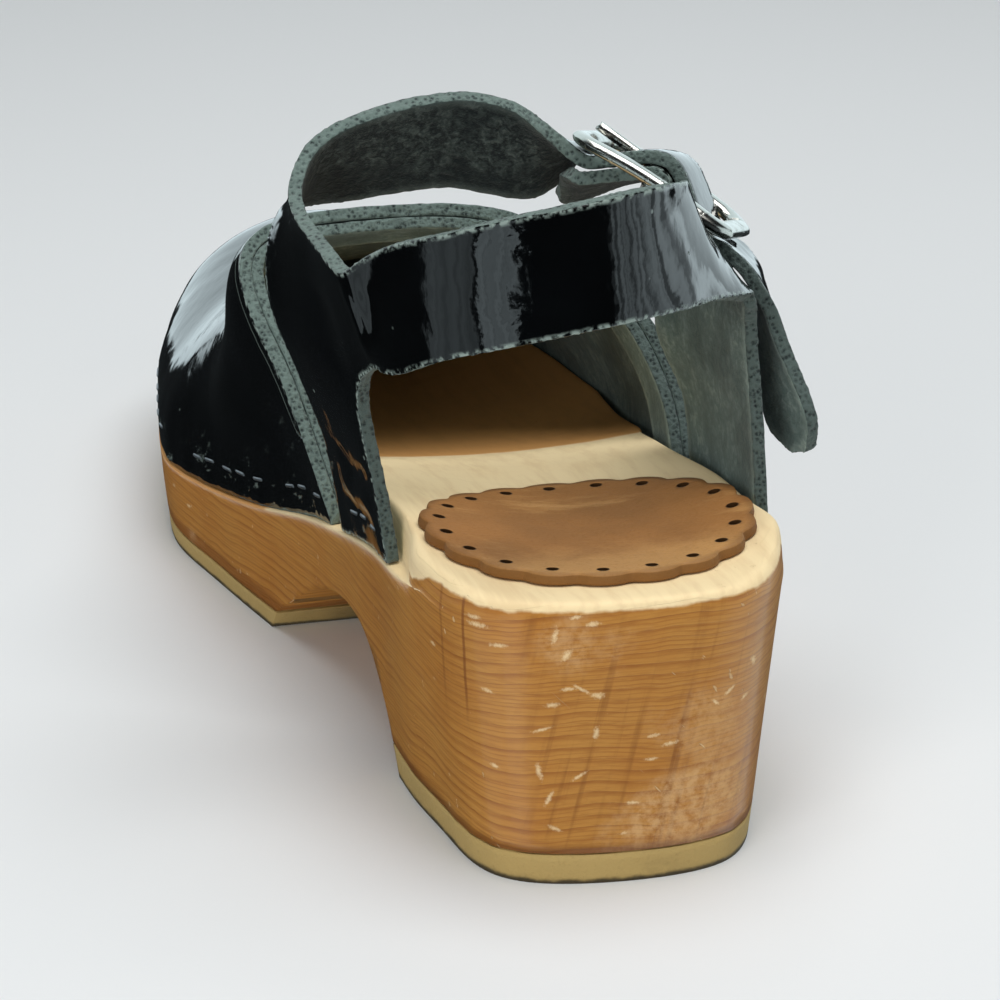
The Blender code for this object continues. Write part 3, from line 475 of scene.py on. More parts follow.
def wood_finish(look):
    """Varnished wood with growth lines, rays, dents and scuffs, bare on the seat and the rim."""
    finish = Finish("varnished_wood_worn", IOR=1.45, Coat_Roughness=0.18, Coat_IOR=1.45)
    x, y, z = finish.x, finish.y, finish.z
    warp = (finish.noise(34.0, 3.0) - 0.5) * 0.0050 + (finish.noise(11.0, 2.0) - 0.5) * 0.010
    layer = z + x * x * 1.6 - x * 0.04 + warp
    ring = (layer / look.pitch) % 1.0
    late = ring.rise(0.35, 0.90) * ring.rise(1.0, 0.94)
    thin = (layer * (2.6 / look.pitch) + finish.noise(90.0)) % 1.0
    thin = thin.rise(0.5, 0.9) * thin.rise(1.0, 0.92)
    broad = finish.noise(70.0, 4.0, 0.6, finish.spot((0.8, 0.3, 4.5)))
    fine = finish.noise(700.0, 4.0, 0.65, finish.spot((0.3, 0.12, 1.8)))
    lines = late * (0.10 + broad.rise(0.36, 0.66) * 0.90)
    lines = lines + thin * broad.rise(0.66, 0.36) * 0.75
    across = finish.noise(520.0, 3.0, 0.6, finish.spot((1.0, 0.2, 0.022), (0.0, -0.20, 0.0)))
    rays = across.rise(0.52, 0.74) * abs(x - 0.006 + z * 0.1).rise(0.026, 0.014)
    rays = rays * (0.2 + finish.noise(60.0, 4.0, 0.65).rise(0.40, 0.62) * 0.8)
    corner = (x - y) * 0.707
    checks = abs(corner + 0.0080 + (finish.noise(60.0) - 0.5) * 0.0012).rise(0.00050, 0.00012)
    second = abs(corner + 0.0140 + (finish.noise(70.0) - 0.5) * 0.0012)
    checks = checks.larger(second.rise(0.0005, 0.00012) * 0.6)
    checks = checks * z.rise(0.024, 0.034) * y.rise(0.0, -0.006)
    checks = checks * x.rise(-0.008, -0.014)
    mottle = finish.noise(40.0, 4.0, 0.6)

    torn = (finish.noise(2300.0, 4.0, 0.7) - 0.5) * 2.4
    fleck = None
    for mark in FLECKS:
        away = finish.spread((mark.x * MM, mark.z * MM), (mark.half_length * MM, mark.half_width * MM),
                             math.radians(mark.turn))
        spot = (away + torn).rise(1.3, 0.1)
        fleck = spot if fleck is None else fleck.larger(spot)
    fleck = fleck * y.rise(0.0, -0.004)
    near, pick = finish.cells(230.0, finish.spot((0.6, 0.6, 1.7), (0.0, 0.15, 0.0)))
    fleck = fleck.larger((near + torn * 0.14).rise(0.17, 0.08) * pick.rise(0.88, 0.90) * 0.7)
    scratch_at = finish.spot((1.0, 1.0, 0.04), (0.2, 0.75, 0.3))
    scratch = finish.noise(700.0, 2.0, 0.5, scratch_at).rise(0.72, 0.76)
    ragged = (finish.noise(150.0, 4.0, 0.7) - 0.5) * 1.2
    rub = (finish.spread((0.0085, 0.0125), (0.014, 0.008), -0.35) + ragged).rise(1.1, 0.5)
    rub = rub.larger((finish.spread((-0.011, 0.0430), (0.006, 0.006)) + ragged).rise(1.1, 0.4) * 0.7)
    rub = rub.larger((finish.spread((0.012, 0.0260), (0.011, 0.010)) + ragged).rise(1.0, 0.3) * 0.6)
    rub = rub * y.rise(0.0, -0.006)
    rub = rub.larger(finish.noise(48.0, 4.0, 0.62).rise(0.60, 0.78) * 0.8)
    rub = rub * finish.noise(520.0, 5.0, 0.7).rise(0.30, 0.64)

    stops = [((stop.along + 30.0) / 260.0, (stop.height / 50.0,) * 3) for stop in RAW_LIMIT]
    limit = finish.node("ShaderNodeValToRGB", {"stops": stops}, {"Fac": (y + 0.03) / 0.26}).outputs[0]
    above = z - Value(finish, limit) * 0.05 + (finish.noise(260.0, 3.0) - 0.5) * 0.0014
    bare = above.rise(-0.0002, 0.0005).larger(finish.facing_up().rise(0.42, 0.62))
    ahead = y + x * STAIN_SLANT + (finish.noise(120.0) - 0.5) * 0.003
    stained = ahead.rise(STAIN_START, STAIN_START + 0.003)

    seam = (z + (finish.noise(90.0) - 0.5) * 0.0016).rise(0.0074, 0.0060)
    grain = finish.noise(420.0, 3.0, 0.6, finish.spot((1.0, 0.05, 1.0)))
    body = finish.layers(
        look.varnish,
        (mottle.rise(0.32, 0.72) * 0.6, look.glow),
        (fine.rise(0.42, 0.78) * 0.4, look.line),
        (lines * 0.66, look.line),
        ((rays * 0.66).larger(checks * 0.7), look.ray),
        (seam * 0.6, look.ray),
        (rub * 0.6, look.scuff),
        ((fleck * 0.62).larger(scratch * 0.35), look.raw))
    board = finish.layers(
        look.raw,
        (stained, look.worn),
        (grain.rise(0.42, 0.7) * 0.16, shade_of(look.worn, 0.62)),
        (mottle.rise(0.5, 0.8) * 0.10, look.worn))
    gloss = 0.36 + fine * 0.12 + rub * 0.3 + fleck * 0.3 + scratch * 0.2
    height = fine * 0.3 - late * 0.2 - scratch * 0.6
    return finish.wear(
        Base_Color=finish.mix(bare, body, board),
        Roughness=gloss * (1.0 - bare) + bare * 0.72,
        Coat_Weight=(1.0 - bare) * (0.3 - rub * 0.28),
        Normal=finish.bump(height, 0.0002))


def rubber_finish(look):
    """Tan rubber with specks, darker along its lower edge and on its underside."""
    finish = Finish("tan_rubber_worn", IOR=1.4)
    speck = finish.noise(1300.0, 3.0, 0.65)
    cloud = finish.noise(60.0, 3.0)
    rag = (finish.noise(300.0, 3.0) - 0.5) * 0.0012
    # Darker towards the lower edge and on faces that look down
    low = (finish.z + rag).rise(0.0011, 0.0003)
    under = finish.facing_up().rise(-0.3, -0.7)
    smear = finish.noise(120.0, 4.0, 0.65, finish.spot((1.0, 1.0, 2.6))).rise(0.55, 0.78)
    darker_at_bottom = low.larger(under * (0.35 + cloud.rise(0.3, 0.7) * 0.5))
    return finish.wear(
        Base_Color=finish.layers(
            look.rubber,
            (cloud.rise(0.35, 0.7) * 0.4, shade_of(look.rubber, 0.8)),
            (speck.rise(0.55, 0.8) * 0.3, shade_of(look.rubber, 0.6)),
            (smear * 0.25, shade_of(look.rubber, 0.5)),
            (darker_at_bottom * 0.9, look.bottom_dark)),
        Roughness=0.62 + speck * 0.2,
        Normal=finish.bump(speck * 0.7 + cloud * 0.3, 0.0003))


def pad_finish(look, centre):
    """Brown leather pad with a punched hole in each scallop, with painted shade in the holes and painted
    light towards its raised heel end.
    """
    finish = Finish("pad_leather_worn", IOR=1.4)
    across, along = finish.x - centre[0], finish.y - centre[1]
    radius = (across * across + along * along) ** 0.5
    angle = across.reckon("ARCTAN2", along, across)
    turn = ((angle * (look.slots / math.tau) + look.slots / 4) % 1.0 - 0.5) * (math.tau / look.slots)
    aside, inside = turn * radius, radius - (centre[2] - look.inset)
    # Painted shade: the punched holes are coloured nearly black
    hole = ((aside * aside + inside * inside) ** 0.5).rise(look.punch * 0.58, look.punch * 0.44)
    rim = radius.rise(centre[2] - 0.0022, centre[2] - 0.0004)
    side = finish.facing_up().rise(0.75, 0.4)
    grain = finish.noise(1500.0, 3.0, 0.6)
    cloud = finish.noise(85.0, 4.0, 0.62)
    rub = finish.streaks(130.0, 4.0, 0.62, (0.3, 1.0, 1.0), (0.0, 0.0, 0.25), 0.52, 0.76)
    dark = shade_of(look.pad, 0.45)
    # Partly painted light: besides the rubbed streaks, the pad gets lighter towards its raised heel end
    rub = rub.larger((finish.y + (cloud - 0.5) * 0.02).rise(0.004, -0.010) * 0.75)
    return finish.wear(
        Base_Color=finish.layers(
            look.pad,
            (cloud.rise(0.32, 0.7) * 0.5, shade_of(look.pad, 0.62)),
            (rub * 0.5, look.rubbed),
            ((rim * 0.5).larger(side * 0.8), dark),
            (grain.rise(0.5, 0.8) * 0.25, dark),
            # painted shade in the punched holes
            (hole * 0.93, shade_of(look.pad, 0.08))),
        Roughness=0.6 + grain * 0.2 - rub * 0.12,
        Normal=finish.bump(grain * 0.3 + cloud * 0.2, 0.00045))


def metal_finish(name, tone, rough):
    """Plated metal with fine scratches and dull spots."""
    finish = Finish(name, Metallic=1.0)
    dull = finish.noise(320.0, 4.0, 0.6)
    scratch = finish.streaks(900.0, 2.0, 0.5, (1.0, 0.06, 1.0), (0.6, 0.3, 0.9), 0.62, 0.7)
    shade = finish.mix(dull.rise(0.45, 0.8) * 0.45, tone, shade_of(tone, 0.55))
    return finish.wear(
        Base_Color=shade,
        Roughness=rough + dull.rise(0.4, 0.8) * 0.16 + scratch * 0.14,
        Normal=finish.bump(scratch * 0.5 + dull * 0.3, 0.00005))


def floor_finish(look):
    """Pale seamless paper that fades into the backdrop."""
    finish = Finish("pale_floor", IOR=1.4)
    cloud = finish.noise(2.2, 3.0)
    fibre = finish.noise(900.0, 2.0)
    away = (finish.x * finish.x + finish.y * finish.y) ** 0.5
    return finish.wear(
        Base_Color=finish.mix(cloud * 0.12, look.floor, shade_of(look.floor, 0.9)),
        Alpha=away.rise(look.fade * 2.0, look.fade),
        Roughness=0.62 + fibre * 0.15,
        Normal=finish.bump(fibre, 0.00002))


def surround(nodes, look):
    """Pale backdrop for the camera, even light for the floor, a dark room with bright panels for gloss."""
    way = nodes.node("ShaderNodeTexCoord").outputs["Generated"]
    x, y, z = nodes.split(way)
    turn = x.reckon("ARCTAN2", x, 0.0 - y)
    rag = nodes.noise(7.0, 4.0, 0.65, way) - 0.5
    lowered = z + rag * 0.06 + x.rise(-0.18, -0.08) * 0.09
    room = lowered.rise(-0.125, -0.10) * y.rise(0.25, 0.55) * look.backdrop + 0.02
    for panel in PANELS:
        half = math.radians(panel.half)
        off = abs(turn - math.radians(panel.turn) + rag * panel.rag)
        stripes = nodes.node("ShaderNodeTexNoise", {"noise_dimensions": "1D"}, {
            "W": turn, "Scale": 8.0, "Detail": 2.5, "Roughness": 0.55}).outputs["Fac"]
        dark = Value(nodes, stripes).rise(0.42, 0.62) * panel.stripes
        tall = (z + rag * 0.2).rise(0.15, 0.0)
        room = room + off.rise(half, half * 0.85) * tall * (1.0 - dark) * panel.radiance
    shown = nodes.node("ShaderNodeBackground", {}, {"Color": look.haze, "Strength": 1.0})
    given = nodes.node("ShaderNodeBackground", {}, {"Color": look.haze, "Strength": look.ambient})
    glossy = nodes.node("ShaderNodeBackground", {}, {"Color": look.gleam, "Strength": room})
    rays = nodes.node("ShaderNodeLightPath").outputs
    lit = nodes.node("ShaderNodeMixShader", {}, {
        0: rays["Is Glossy Ray"], 1: given.outputs[0], 2: glossy.outputs[0]})
    seen = nodes.node("ShaderNodeMixShader", {}, {
        0: rays["Is Camera Ray"], 1: lit.outputs[0], 2: shown.outputs[0]})
    nodes.node("ShaderNodeOutputWorld", {}, {"Surface": seen.outputs[0]})


def merged_copy(node):
    """Copy of a CAD node as one skin, mostly of quads."""
    bm = bmesh.new()
    bm.from_mesh(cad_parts[node].data)
    bmesh.ops.remove_doubles(bm, verts=bm.verts, dist=MERGE)
    bmesh.ops.join_triangles(bm, faces=bm.faces, angle_face_threshold=math.radians(40.0),
                             angle_shape_threshold=math.radians(80.0))
    for face in bm.faces:
        face.smooth = True
        face.material_index = 0
    for edge in bm.edges:
        edge.smooth = True
    return bm


def sides_of(bm):
    """Groups of faces that meet softly, the largest first."""
    groups, seen = [], set()
    for start in bm.faces:
        if start in seen:
            continue
        group, waiting = [], [start]
        seen.add(start)
        while waiting:
            face = waiting.pop()
            group.append(face)
            for edge in face.edges:
                if edge.calc_face_angle(math.pi) < FOLD_ANGLE:
                    fresh = [other for other in edge.link_faces if other not in seen]
                    seen.update(fresh)
                    waiting.extend(fresh)
        groups.append(group)
    return sorted(groups, key=lambda group: -sum(face.calc_area() for face in group))


def hold_edges(bm, hold):
    """Hold the hard edges against rounding."""
    crease = bm.edges.layers.float.get("crease_edge") or bm.edges.layers.float.new("crease_edge")
    for edge in bm.edges:
        edge[crease] = hold if edge.calc_face_angle(math.pi) >= FOLD_ANGLE else 0.0


def mesh_of(bm, name):
    """Mesh of a finished shape."""
    mesh = bpy.data.meshes.new(name)
    bm.to_mesh(mesh)
    bm.free()
    return mesh


def put(name, data):
    """Object in the scene."""
    item = bpy.data.objects.new(name, data)
    bpy.context.scene.collection.objects.link(item)
    return item


def place_piece(bm, name, node, finishes, level):
    """Object of a shape that stands for a node, rounded by subdivision."""
    mesh = mesh_of(bm, name)
    own_normals = mesh.attributes.get("custom_normal")
    if own_normals:
        mesh.attributes.remove(own_normals)
    for finish in finishes:
        mesh.materials.append(finish)
    piece = put(name, mesh)
    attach(piece, "root")
    if node:
        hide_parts(node)
    if level:
        rounding = piece.modifiers.new("Rounding", "SUBSURF")
        rounding.levels = rounding.render_levels = level
        fit_cage(piece)
    return piece


def fit_cage(piece):
    """Move the cage, except on held edges, until the rounded surface meets the points it had."""
    goals = [vertex.co.copy() for vertex in piece.data.vertices]
    creases = piece.data.attributes["crease_edge"].data
    held = {index for edge in piece.data.edges if creases[edge.index].value > 0.99
            for index in edge.vertices}
    for _ in range(FIT_ROUNDS):
        bpy.context.view_layer.update()
        graph = bpy.context.evaluated_depsgraph_get()
        rounded = piece.evaluated_get(graph).data.vertices
        gaps = [goal - rounded[index].co for index, goal in enumerate(goals)]
        for vertex, gap in zip(piece.data.vertices, gaps):
            if vertex.index not in held:
                vertex.co += gap * min(0.9, FIT_REACH / max(gap.length, MERGE))
        piece.data.update()


def settle(piece):
    """Apply the modifiers, so that single points can be moved."""
    graph = bpy.context.evaluated_depsgraph_get()
    before = piece.data
    piece.data = bpy.data.meshes.new_from_object(piece.evaluated_get(graph), depsgraph=graph)
    piece.modifiers.clear()
    bpy.data.meshes.remove(before)
    piece.data.name = piece.name


def tree_of(mesh, keep):
    """Search tree of the faces that are kept."""
    corners = [vertex.co.copy() for vertex in mesh.vertices]
    return BVHTree.FromPolygons(corners, [tuple(face.vertices) for face in mesh.polygons if keep(face)])


def press_folds(points, tree, folds):
    """Move points along the leather's outer side by the heights of the folds near them."""
    trails = []
    for fold in folds:
        steps = []
        for first, second in zip(fold.points, fold.points[1:]):
            first, second = Vector(first) * MM, Vector(second) * MM
            count = max(2, int((second - first).length / TRAIL_STEP))
            steps += [first.lerp(second, index / count) for index in range(count)]
        trail = KDTree(len(steps))
        for index, step in enumerate(steps):
            trail.insert(tree.find_nearest(step)[0], index)
        trail.balance()
        trails.append((fold, trail, len(steps)))
    moves = []
    for point in points:
        move = 0.0
        for fold, trail, count in trails:
            _, index, apart = trail.find(point)
            reach = apart / (fold.half_width * MM)
            if reach < FOLD_REACH:
                ends = min(1.0, 4.0 * index / count, 4.0 * (count - 1 - index) / count)
                move += fold.height * MM * math.exp(-reach * reach) * (3 - 2 * ends) * ends * ends
        moves.append(move)
    return moves


def dress_leather(look, node, name, folds, ripple, darker_below, groove=False):
    """Leather piece with a lacquered side, a flesh side, raw edges, soft folds and small ripples."""
    bm = merged_copy(node)
    groups = sides_of(bm)
    for index, group in enumerate(groups):
        for face in group:
            face.material_index = min(index, EDGE)
    hold_edges(bm, 0.82)
    finishes = (patent_finish(look, name + "_patent", groove), flesh_finish(look, name + "_flesh"),
                cut_finish(look, name + "_cut", *darker_below))
    piece = place_piece(bm, name, node, finishes, look.level)
    settle(piece)
    mesh = piece.data
    outside = tree_of(mesh, lambda face: face.material_index == OUTER)
    points = [vertex.co.copy() for vertex in mesh.vertices]
    moves = press_folds(points, outside, folds)
    rough = {index for face in mesh.polygons if face.material_index == EDGE for index in face.vertices}
    for vertex, point, move in zip(mesh.vertices, points, moves):
        _, normal, _, _ = outside.find_nearest(point)
        vertex.co = point + normal * (move + ripple(point))
        if vertex.index in rough:
            vertex.co += noise.noise_vector(point * 1700.0) * 0.00016
    mark_edges(piece, "edge", lambda face: face.material_index == EDGE)
    return piece


def bend(piece, nudges):
    """Move the points of a piece near some places, less with the distance."""
    for vertex in piece.data.vertices:
        point = vertex.co.copy()
        for nudge in nudges:
            away = (point - Vector(nudge.place) * MM).length / (nudge.reach * MM)
            if away < FOLD_REACH:
                vertex.co += Vector(nudge.move) * MM * math.exp(-away * away)


def mark_edges(piece, name, keep):
    """Keep on each point its distance from some faces."""
    mesh = piece.data
    rim = tree_of(mesh, keep)
    mark = mesh.attributes.get(name) or mesh.attributes.new(name, "FLOAT", "POINT")
    mark.data.foreach_set("value", [rim.find_nearest(vertex.co)[3] for vertex in mesh.vertices])


def dress_plain(node, name, finish, hold):
    """Rounded copy of a node in one finish."""
    bm = merged_copy(node)
    hold_edges(bm, hold)
    return place_piece(bm, name, node, (finish,), 2)


class CLOG_OT_wood(Operator):
    """Dress the wooden sole: varnish with growth lines and dents, a bare seat and rim"""
    bl_idname = "clog.wood"
    bl_label = "Wooden sole"

    def execute(self, context):
        bm = merged_copy("wood_sole")
        low, high = BACK_ROWS
        back = [vert for vert in bm.verts if vert.co.y < -0.010 and low < vert.co.z < high]
        bmesh.ops.remove_doubles(bm, verts=back, dist=BACK_MERGE)
        hold_edges(bm, 1.0)
        finish = wood_finish(context.scene.clog_wood)
        place_piece(bm, "sole_carved", "wood_sole", (finish,), 2)
        return {"FINISHED"}


class CLOG_OT_rubbers(Operator):
    """Dress the rubber under the heel and the forefoot"""
    bl_idname = "clog.rubbers"
    bl_label = "Rubbers"

    def execute(self, context):
        finish = rubber_finish(context.scene.clog_wood)
        for node in ("heel_rubber", "forefoot_rubber"):
            dress_plain(node, node + "_worn", finish, 1.0)
        return {"FINISHED"}


class CLOG_OT_pad(Operator):
    """Dress the scalloped heel pad and punch its holes"""
    bl_idname = "clog.pad"
    bl_label = "Heel pad"

    def execute(self, context):
        low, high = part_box("heel_pad")
        radius = (high[0] - low[0]) / 2
        centre = ((low[0] + high[0]) / 2, high[1] - radius, radius)
        look = context.scene.clog_wood
        piece = dress_plain("heel_pad", "heel_pad_worn", pad_finish(look, centre), 0.7)
        settle(piece)
        self.punch(piece, look, centre)
        return {"FINISHED"}

    def punch(self, piece, look, centre):
        """Cut a blind hole into each scallop."""
        top = tree_of(piece.data, lambda face: face.normal.z > 0.5)
        bm = bmesh.new()
        for index in range(look.slots):
            angle = math.tau / look.slots * (index + 0.5 - look.slots / 4)
            ring = centre[2] - look.inset
            start = Vector((centre[0] + ring * math.cos(angle), centre[1] + ring * math.sin(angle), 1.0))
            hit, _, _, _ = top.ray_cast(start, Vector((0.0, 0.0, -1.0)))
            if hit is None:
                raise RuntimeError("a punched hole misses the heel pad")
            middle = Matrix.Translation(hit + Vector((0.0, 0.0, look.punch - HOLE_DEPTH)))
            bmesh.ops.create_cone(bm, cap_ends=True, segments=20, radius1=look.punch * 0.46,
                                  radius2=look.punch * 0.46, depth=look.punch * 2.0, matrix=middle)
        mesh = mesh_of(bm, "punches")
        cutter = put("punches", mesh)
        cut = piece.modifiers.new("Holes", "BOOLEAN")
        cut.operation, cut.solver, cut.object = "DIFFERENCE", "EXACT", cutter
        bpy.context.view_layer.update()
        before = len(piece.data.polygons)
        settle(piece)
        bpy.data.objects.remove(cutter)
        bpy.data.meshes.remove(mesh)
        if len(piece.data.polygons) <= before:
            raise RuntimeError("the holes were not cut")


class CLOG_OT_vamp(Operator):
    """Dress the vamp: lasted patent leather with soft folds, puckers and a raw throat"""
    bl_idname = "clog.vamp"
    bl_label = "Vamp"

    def execute(self, context):
        def ripple(point):
            height = max(0.0, point.z - 0.019) / 0.011
            pucker = noise.noise(Vector((point.x * 170.0, point.y * 170.0, 3.0))) * 0.00030
            swell = noise.noise(point * 48.0) * 0.00034
            return pucker * math.exp(-height) + swell + noise.noise(point * 130.0) * 0.00007
        look = context.scene.clog_leather
        piece = dress_leather(look, "vamp", "vamp_lasted", VAMP_FOLDS, ripple, VAMP_DARKER_BELOW, True)
        throat = {face.index for face in piece.data.polygons if face.material_index == EDGE
                  and (face.center.y < 0.045 or face.center.z > 0.05)
                  and abs(face.normal.z) < 0.93 and face.normal.y < 0.2}
        mark_edges(piece, "edge", lambda face: face.index in throat)
        mark_edges(piece, "foot", lambda face: face.material_index == EDGE and face.index not in throat)
        return {"FINISHED"}


class CLOG_OT_facing(Operator):
    """Dress the rough second layer inside the throat"""
    bl_idname = "clog.facing"
    bl_label = "Throat facing"

    def execute(self, context):
        look = context.scene.clog_leather
        bm = merged_copy("throat_facing")
        groups = sides_of(bm)
        for group in groups[2:]:
            for face in group:
                face.material_index = 1
        hold_edges(bm, 0.82)
        finishes = (flesh_finish(look, "facing_flesh"), cut_finish(look, "facing_cut", *VAMP_DARKER_BELOW))
        piece = place_piece(bm, "throat_facing_rough", "throat_facing", finishes, 3)
        settle(piece)
        for vertex in piece.data.vertices:
            vertex.co += noise.noise_vector(vertex.co * 900.0) * 0.00012
        mark_edges(piece, "edge", lambda face: face.material_index == 1)
        return {"FINISHED"}


class CLOG_OT_sling(Operator):
    """Dress the ankle sling: legs, heel strap, buckle arm and instep strap with soft folds"""
    bl_idname = "clog.sling"
    bl_label = "Ankle sling"

    def execute(self, context):
        def ripple(point):
            across = noise.noise(Vector((point.x * 95.0, point.y * 95.0, point.z * 16.0))) * 0.00022
            return across + noise.noise(point * 300.0) * 0.00004
        look = context.scene.clog_leather
        piece = dress_leather(look, "ankle_sling", "ankle_sling_worn", SLING_FOLDS, ripple, SLING_DARKER_BELOW)
        bend(piece, SLING_NUDGES)
        mark_edges(piece, "foot", lambda face: face.material_index == EDGE and face.center.z < 0.044)
        return {"FINISHED"}


class CLOG_OT_buckle(Operator):
    """Dress the buckle's frame and prong in polished nickel"""
    bl_idname = "clog.buckle"
    bl_label = "Buckle"

    def execute(self, context):
        finish = metal_finish("nickel_worn", context.scene.clog_metal.nickel, 0.16)
        for node in ("buckle_frame", "buckle_prong"):
            dress_plain(node, node + "_polished", finish, 0.6)
        return {"FINISHED"}


def staple_shape(look):
    """Staple with its crown along X and its legs down."""
    bm = bmesh.new()
    bend = look.wire
    depth = 1.8 * look.wire
    start = Matrix.Translation((-look.crown / 2, 0.0, -depth))
    bmesh.ops.create_circle(bm, cap_ends=True, segments=8, radius=look.wire / 2, matrix=start)
    last = bm.faces[:]

    def those(items, kind):
        return [item for item in items if isinstance(item, kind)]

    def draw(offset):
        grown = bmesh.ops.extrude_face_region(bm, geom=last)["geom"]
        bmesh.ops.translate(bm, vec=offset, verts=those(grown, bmesh.types.BMVert))
        return those(grown, bmesh.types.BMFace)

    def turn(centre):
        grown = bmesh.ops.spin(bm, geom=last, cent=centre, axis=(0.0, 1.0, 0.0), angle=math.radians(90.0),
                               steps=3, use_duplicate=False)["geom_last"]
        return those(grown, bmesh.types.BMFace)
    last = draw((0.0, 0.0, depth - bend))
    last = turn((-look.crown / 2 + bend, 0.0, -bend))
    last = draw((look.crown - 2 * bend, 0.0, 0.0))
    last = turn((look.crown / 2 - bend, 0.0, -bend))
    last = draw((0.0, 0.0, bend - depth))
    inside = [f for f in bm.faces if all(len(edge.link_faces) > 2 for edge in f.edges)]
    bmesh.ops.delete(bm, geom=inside, context="FACES_ONLY")
    bmesh.ops.recalc_face_normals(bm, faces=bm.faces)
    for f in bm.faces:
        f.smooth = True
    return mesh_of(bm, "staple")


class CLOG_OT_staples(Operator):
    """Drive the staples along the lower edge of the vamp and the legs"""
    bl_idname = "clog.staples"
    bl_label = "Staples"

    def execute(self, context):
        look = context.scene.clog_metal
        shape = staple_shape(look)
        bm = bmesh.new()
        for name in ("vamp_lasted", "ankle_sling_worn"):
            mesh = bpy.data.objects[name].data
            outside = tree_of(mesh, lambda face: face.material_index == OUTER)
            for place, normal, along in self.row(outside, name == "vamp_lasted", look):
                side = normal.cross(along).normalized()
                turn = Matrix((along, side, normal)).transposed().to_4x4()
                before = len(bm.verts)
                bm.from_mesh(shape)
                bm.verts.ensure_lookup_table()
                matrix = Matrix.Translation(place - normal * (look.wire * 0.2)) @ turn
                bmesh.ops.transform(bm, matrix=matrix, verts=bm.verts[before:])
        if not bm.verts:
            raise RuntimeError("no staple found its leather")
        bpy.data.meshes.remove(shape)
        finish = metal_finish("staple_steel", look.steel, 0.45)
        place_piece(bm, "staples", None, (finish,), 0)
        return {"FINISHED"}

    def row(self, outside, vamp, look):
        """Places, normals and directions of staples along a lower edge."""
        ledge = [(stop.along * MM, stop.height * MM) for stop in RAW_LIMIT]

        def height(y):
            for (y0, z0), (y1, z1) in zip(ledge, ledge[1:]):
                if y <= y1:
                    return z0 + (z1 - z0) * max(0.0, y - y0) / (y1 - y0)
            return ledge[-1][1]

        def across(way, first, last):
            return [(Vector((0.0, y * MM, 0.0)), Vector((way, 0.0, 0.0))) for y in range(first, last, 2)]
        if vamp:
            turns = [math.radians(degrees) for degrees in range(2, 178, 3)]
            middle = Vector((0.0, TOE_CENTRE, 0.0))
            toe = [(middle, Vector((-math.cos(turn), math.sin(turn), 0.0))) for turn in turns]
            rows = [across(-1.0, 62, 176) + toe + across(1.0, 56, 176)[::-1]]
        else:
            rows = [across(-1.0, 24, 50), across(1.0, 18, 49)]
        found = []
        for rays in rows:
            trail = []
            for start, way in rays:
                far = start + way * RAY_LENGTH
                far.z = height((start + way * 0.04).y) + look.height
                hit, normal, _, _ = outside.ray_cast(far, -way, RAY_LENGTH)
                if hit:
                    trail.append((hit, normal))
            found += self.spread(trail, look)
        return found

    def spread(self, trail, look):
        """Evenly spaced places on a trail, each a little out of line."""
        found, run = [], look.spacing * 0.55
        for (first, normal), (second, _) in zip(trail, trail[1:]):
            gap = second - first
            if gap.length > LONGEST_GAP:
                continue
            run += gap.length
            if run >= look.spacing:
                run -= look.spacing
                shake = noise.noise_vector(first * 900.0)
                if shake.z < -0.22:
                    continue
                along = (gap.normalized() + normal.cross(gap.normalized()) * 0.16 * shake.x).normalized()
                along = (along - normal * along.dot(normal)).normalized()
                lift = normal.cross(along) * shake.y * 0.0006
                found.append((first + lift, normal, along))
        return found


def point_at(item, place, aim):
    """Set a lamp or camera at a place, turned to a point."""
    item.location = place
    item.rotation_euler = (Vector(aim) - Vector(place)).to_track_quat("-Z", "Y").to_euler()


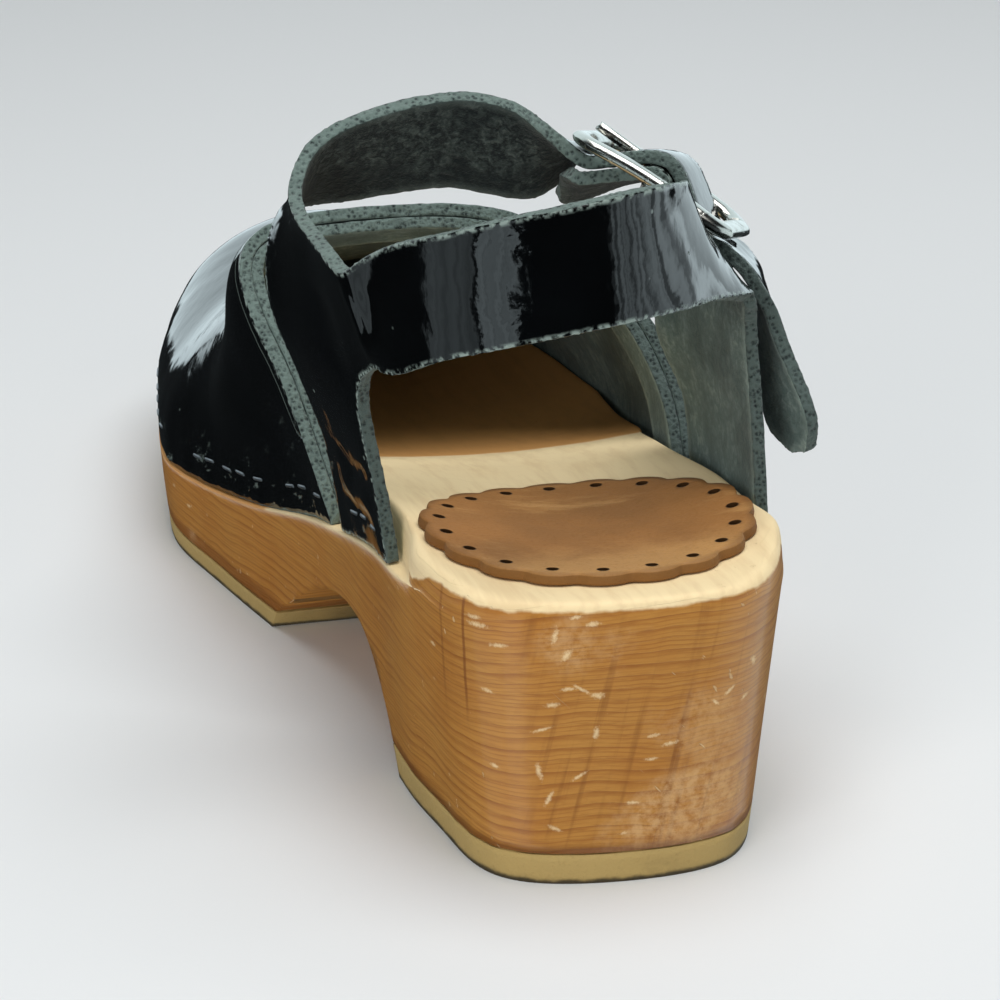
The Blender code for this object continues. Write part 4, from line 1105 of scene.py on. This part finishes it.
class CLOG_OT_stage(Operator):
    """Set the floor, the lamps and the camera"""
    bl_idname = "clog.stage"
    bl_label = "Stage"

    def execute(self, context):
        scene, look = context.scene, context.scene.clog_stage
        bm = bmesh.new()
        bmesh.ops.create_circle(bm, cap_ends=True, segments=64, radius=4.0)
        floor = put("floor", mesh_of(bm, "floor"))
        floor.data.materials.append(floor_finish(look))
        floor.visible_glossy = False
        for lamp in LAMPS:
            data = bpy.data.lights.new(lamp.name, "AREA")
            data.shape, data.size, data.size_y = "RECTANGLE", lamp.width, lamp.depth
            data.energy = lamp.radiance * math.pi * lamp.width * lamp.depth
            data.color = lamp.colour
            light = put(lamp.name, data)
            light.visible_glossy = lamp.mirrored
            point_at(light, lamp.place, lamp.aim)
        world = bpy.data.worlds.new("Studio")
        world.use_nodes = True
        surround(Nodes(world.node_tree), look)
        world.cycles.sampling_method = "NONE"
        scene.world = world
        camera = put("Camera", bpy.data.cameras.new("Camera"))
        camera.data.sensor_width, camera.data.lens = 36.0, look.lens
        point_at(camera, look.place, look.aim)
        scene.camera = camera
        scene.view_settings.view_transform = "Standard"
        scene.view_settings.look = "None"
        return {"FINISHED"}


class CLOG_PT_panel(Panel):
    """Makers and sizes of the clog sandal"""
    bl_label = "Clog sandal"
    bl_idname = "CLOG_PT_panel"
    bl_space_type = "VIEW_3D"
    bl_region_type = "UI"
    bl_category = "Clog"

    def draw(self, context):
        for operator in OPERATORS:
            self.layout.operator(operator.bl_idname)
        for name, look in LOOKS:
            column = self.layout.column()
            for key in look.__annotations__:
                column.prop(getattr(context.scene, name), key)


LOOKS = (("clog_leather", LeatherLook), ("clog_wood", WoodLook), ("clog_metal", MetalLook),
         ("clog_stage", StageLook))
OPERATORS = (CLOG_OT_stage, CLOG_OT_wood, CLOG_OT_rubbers, CLOG_OT_pad, CLOG_OT_vamp, CLOG_OT_facing,
             CLOG_OT_sling, CLOG_OT_buckle, CLOG_OT_staples)


def register():
    """Register the looks, the operators and the panel, and fix the noise's seed so that runs repeat."""
    noise.seed_set(NOISE_SEED)
    for name, look in LOOKS:
        bpy.utils.register_class(look)
        setattr(bpy.types.Scene, name, PointerProperty(type=look))
    for operator in (*OPERATORS, CLOG_PT_panel):
        bpy.utils.register_class(operator)


def unregister():
    """Take back what was registered."""
    for operator in (CLOG_PT_panel, *reversed(OPERATORS)):
        bpy.utils.unregister_class(operator)
    for name, look in reversed(LOOKS):
        delattr(bpy.types.Scene, name)
        bpy.utils.unregister_class(look)


def main():
    """Make every piece."""
    register()
    for operator in OPERATORS:
        group, name = operator.bl_idname.split(".")
        getattr(getattr(bpy.ops, group), name)()


if __name__ == "__main__":
    main()
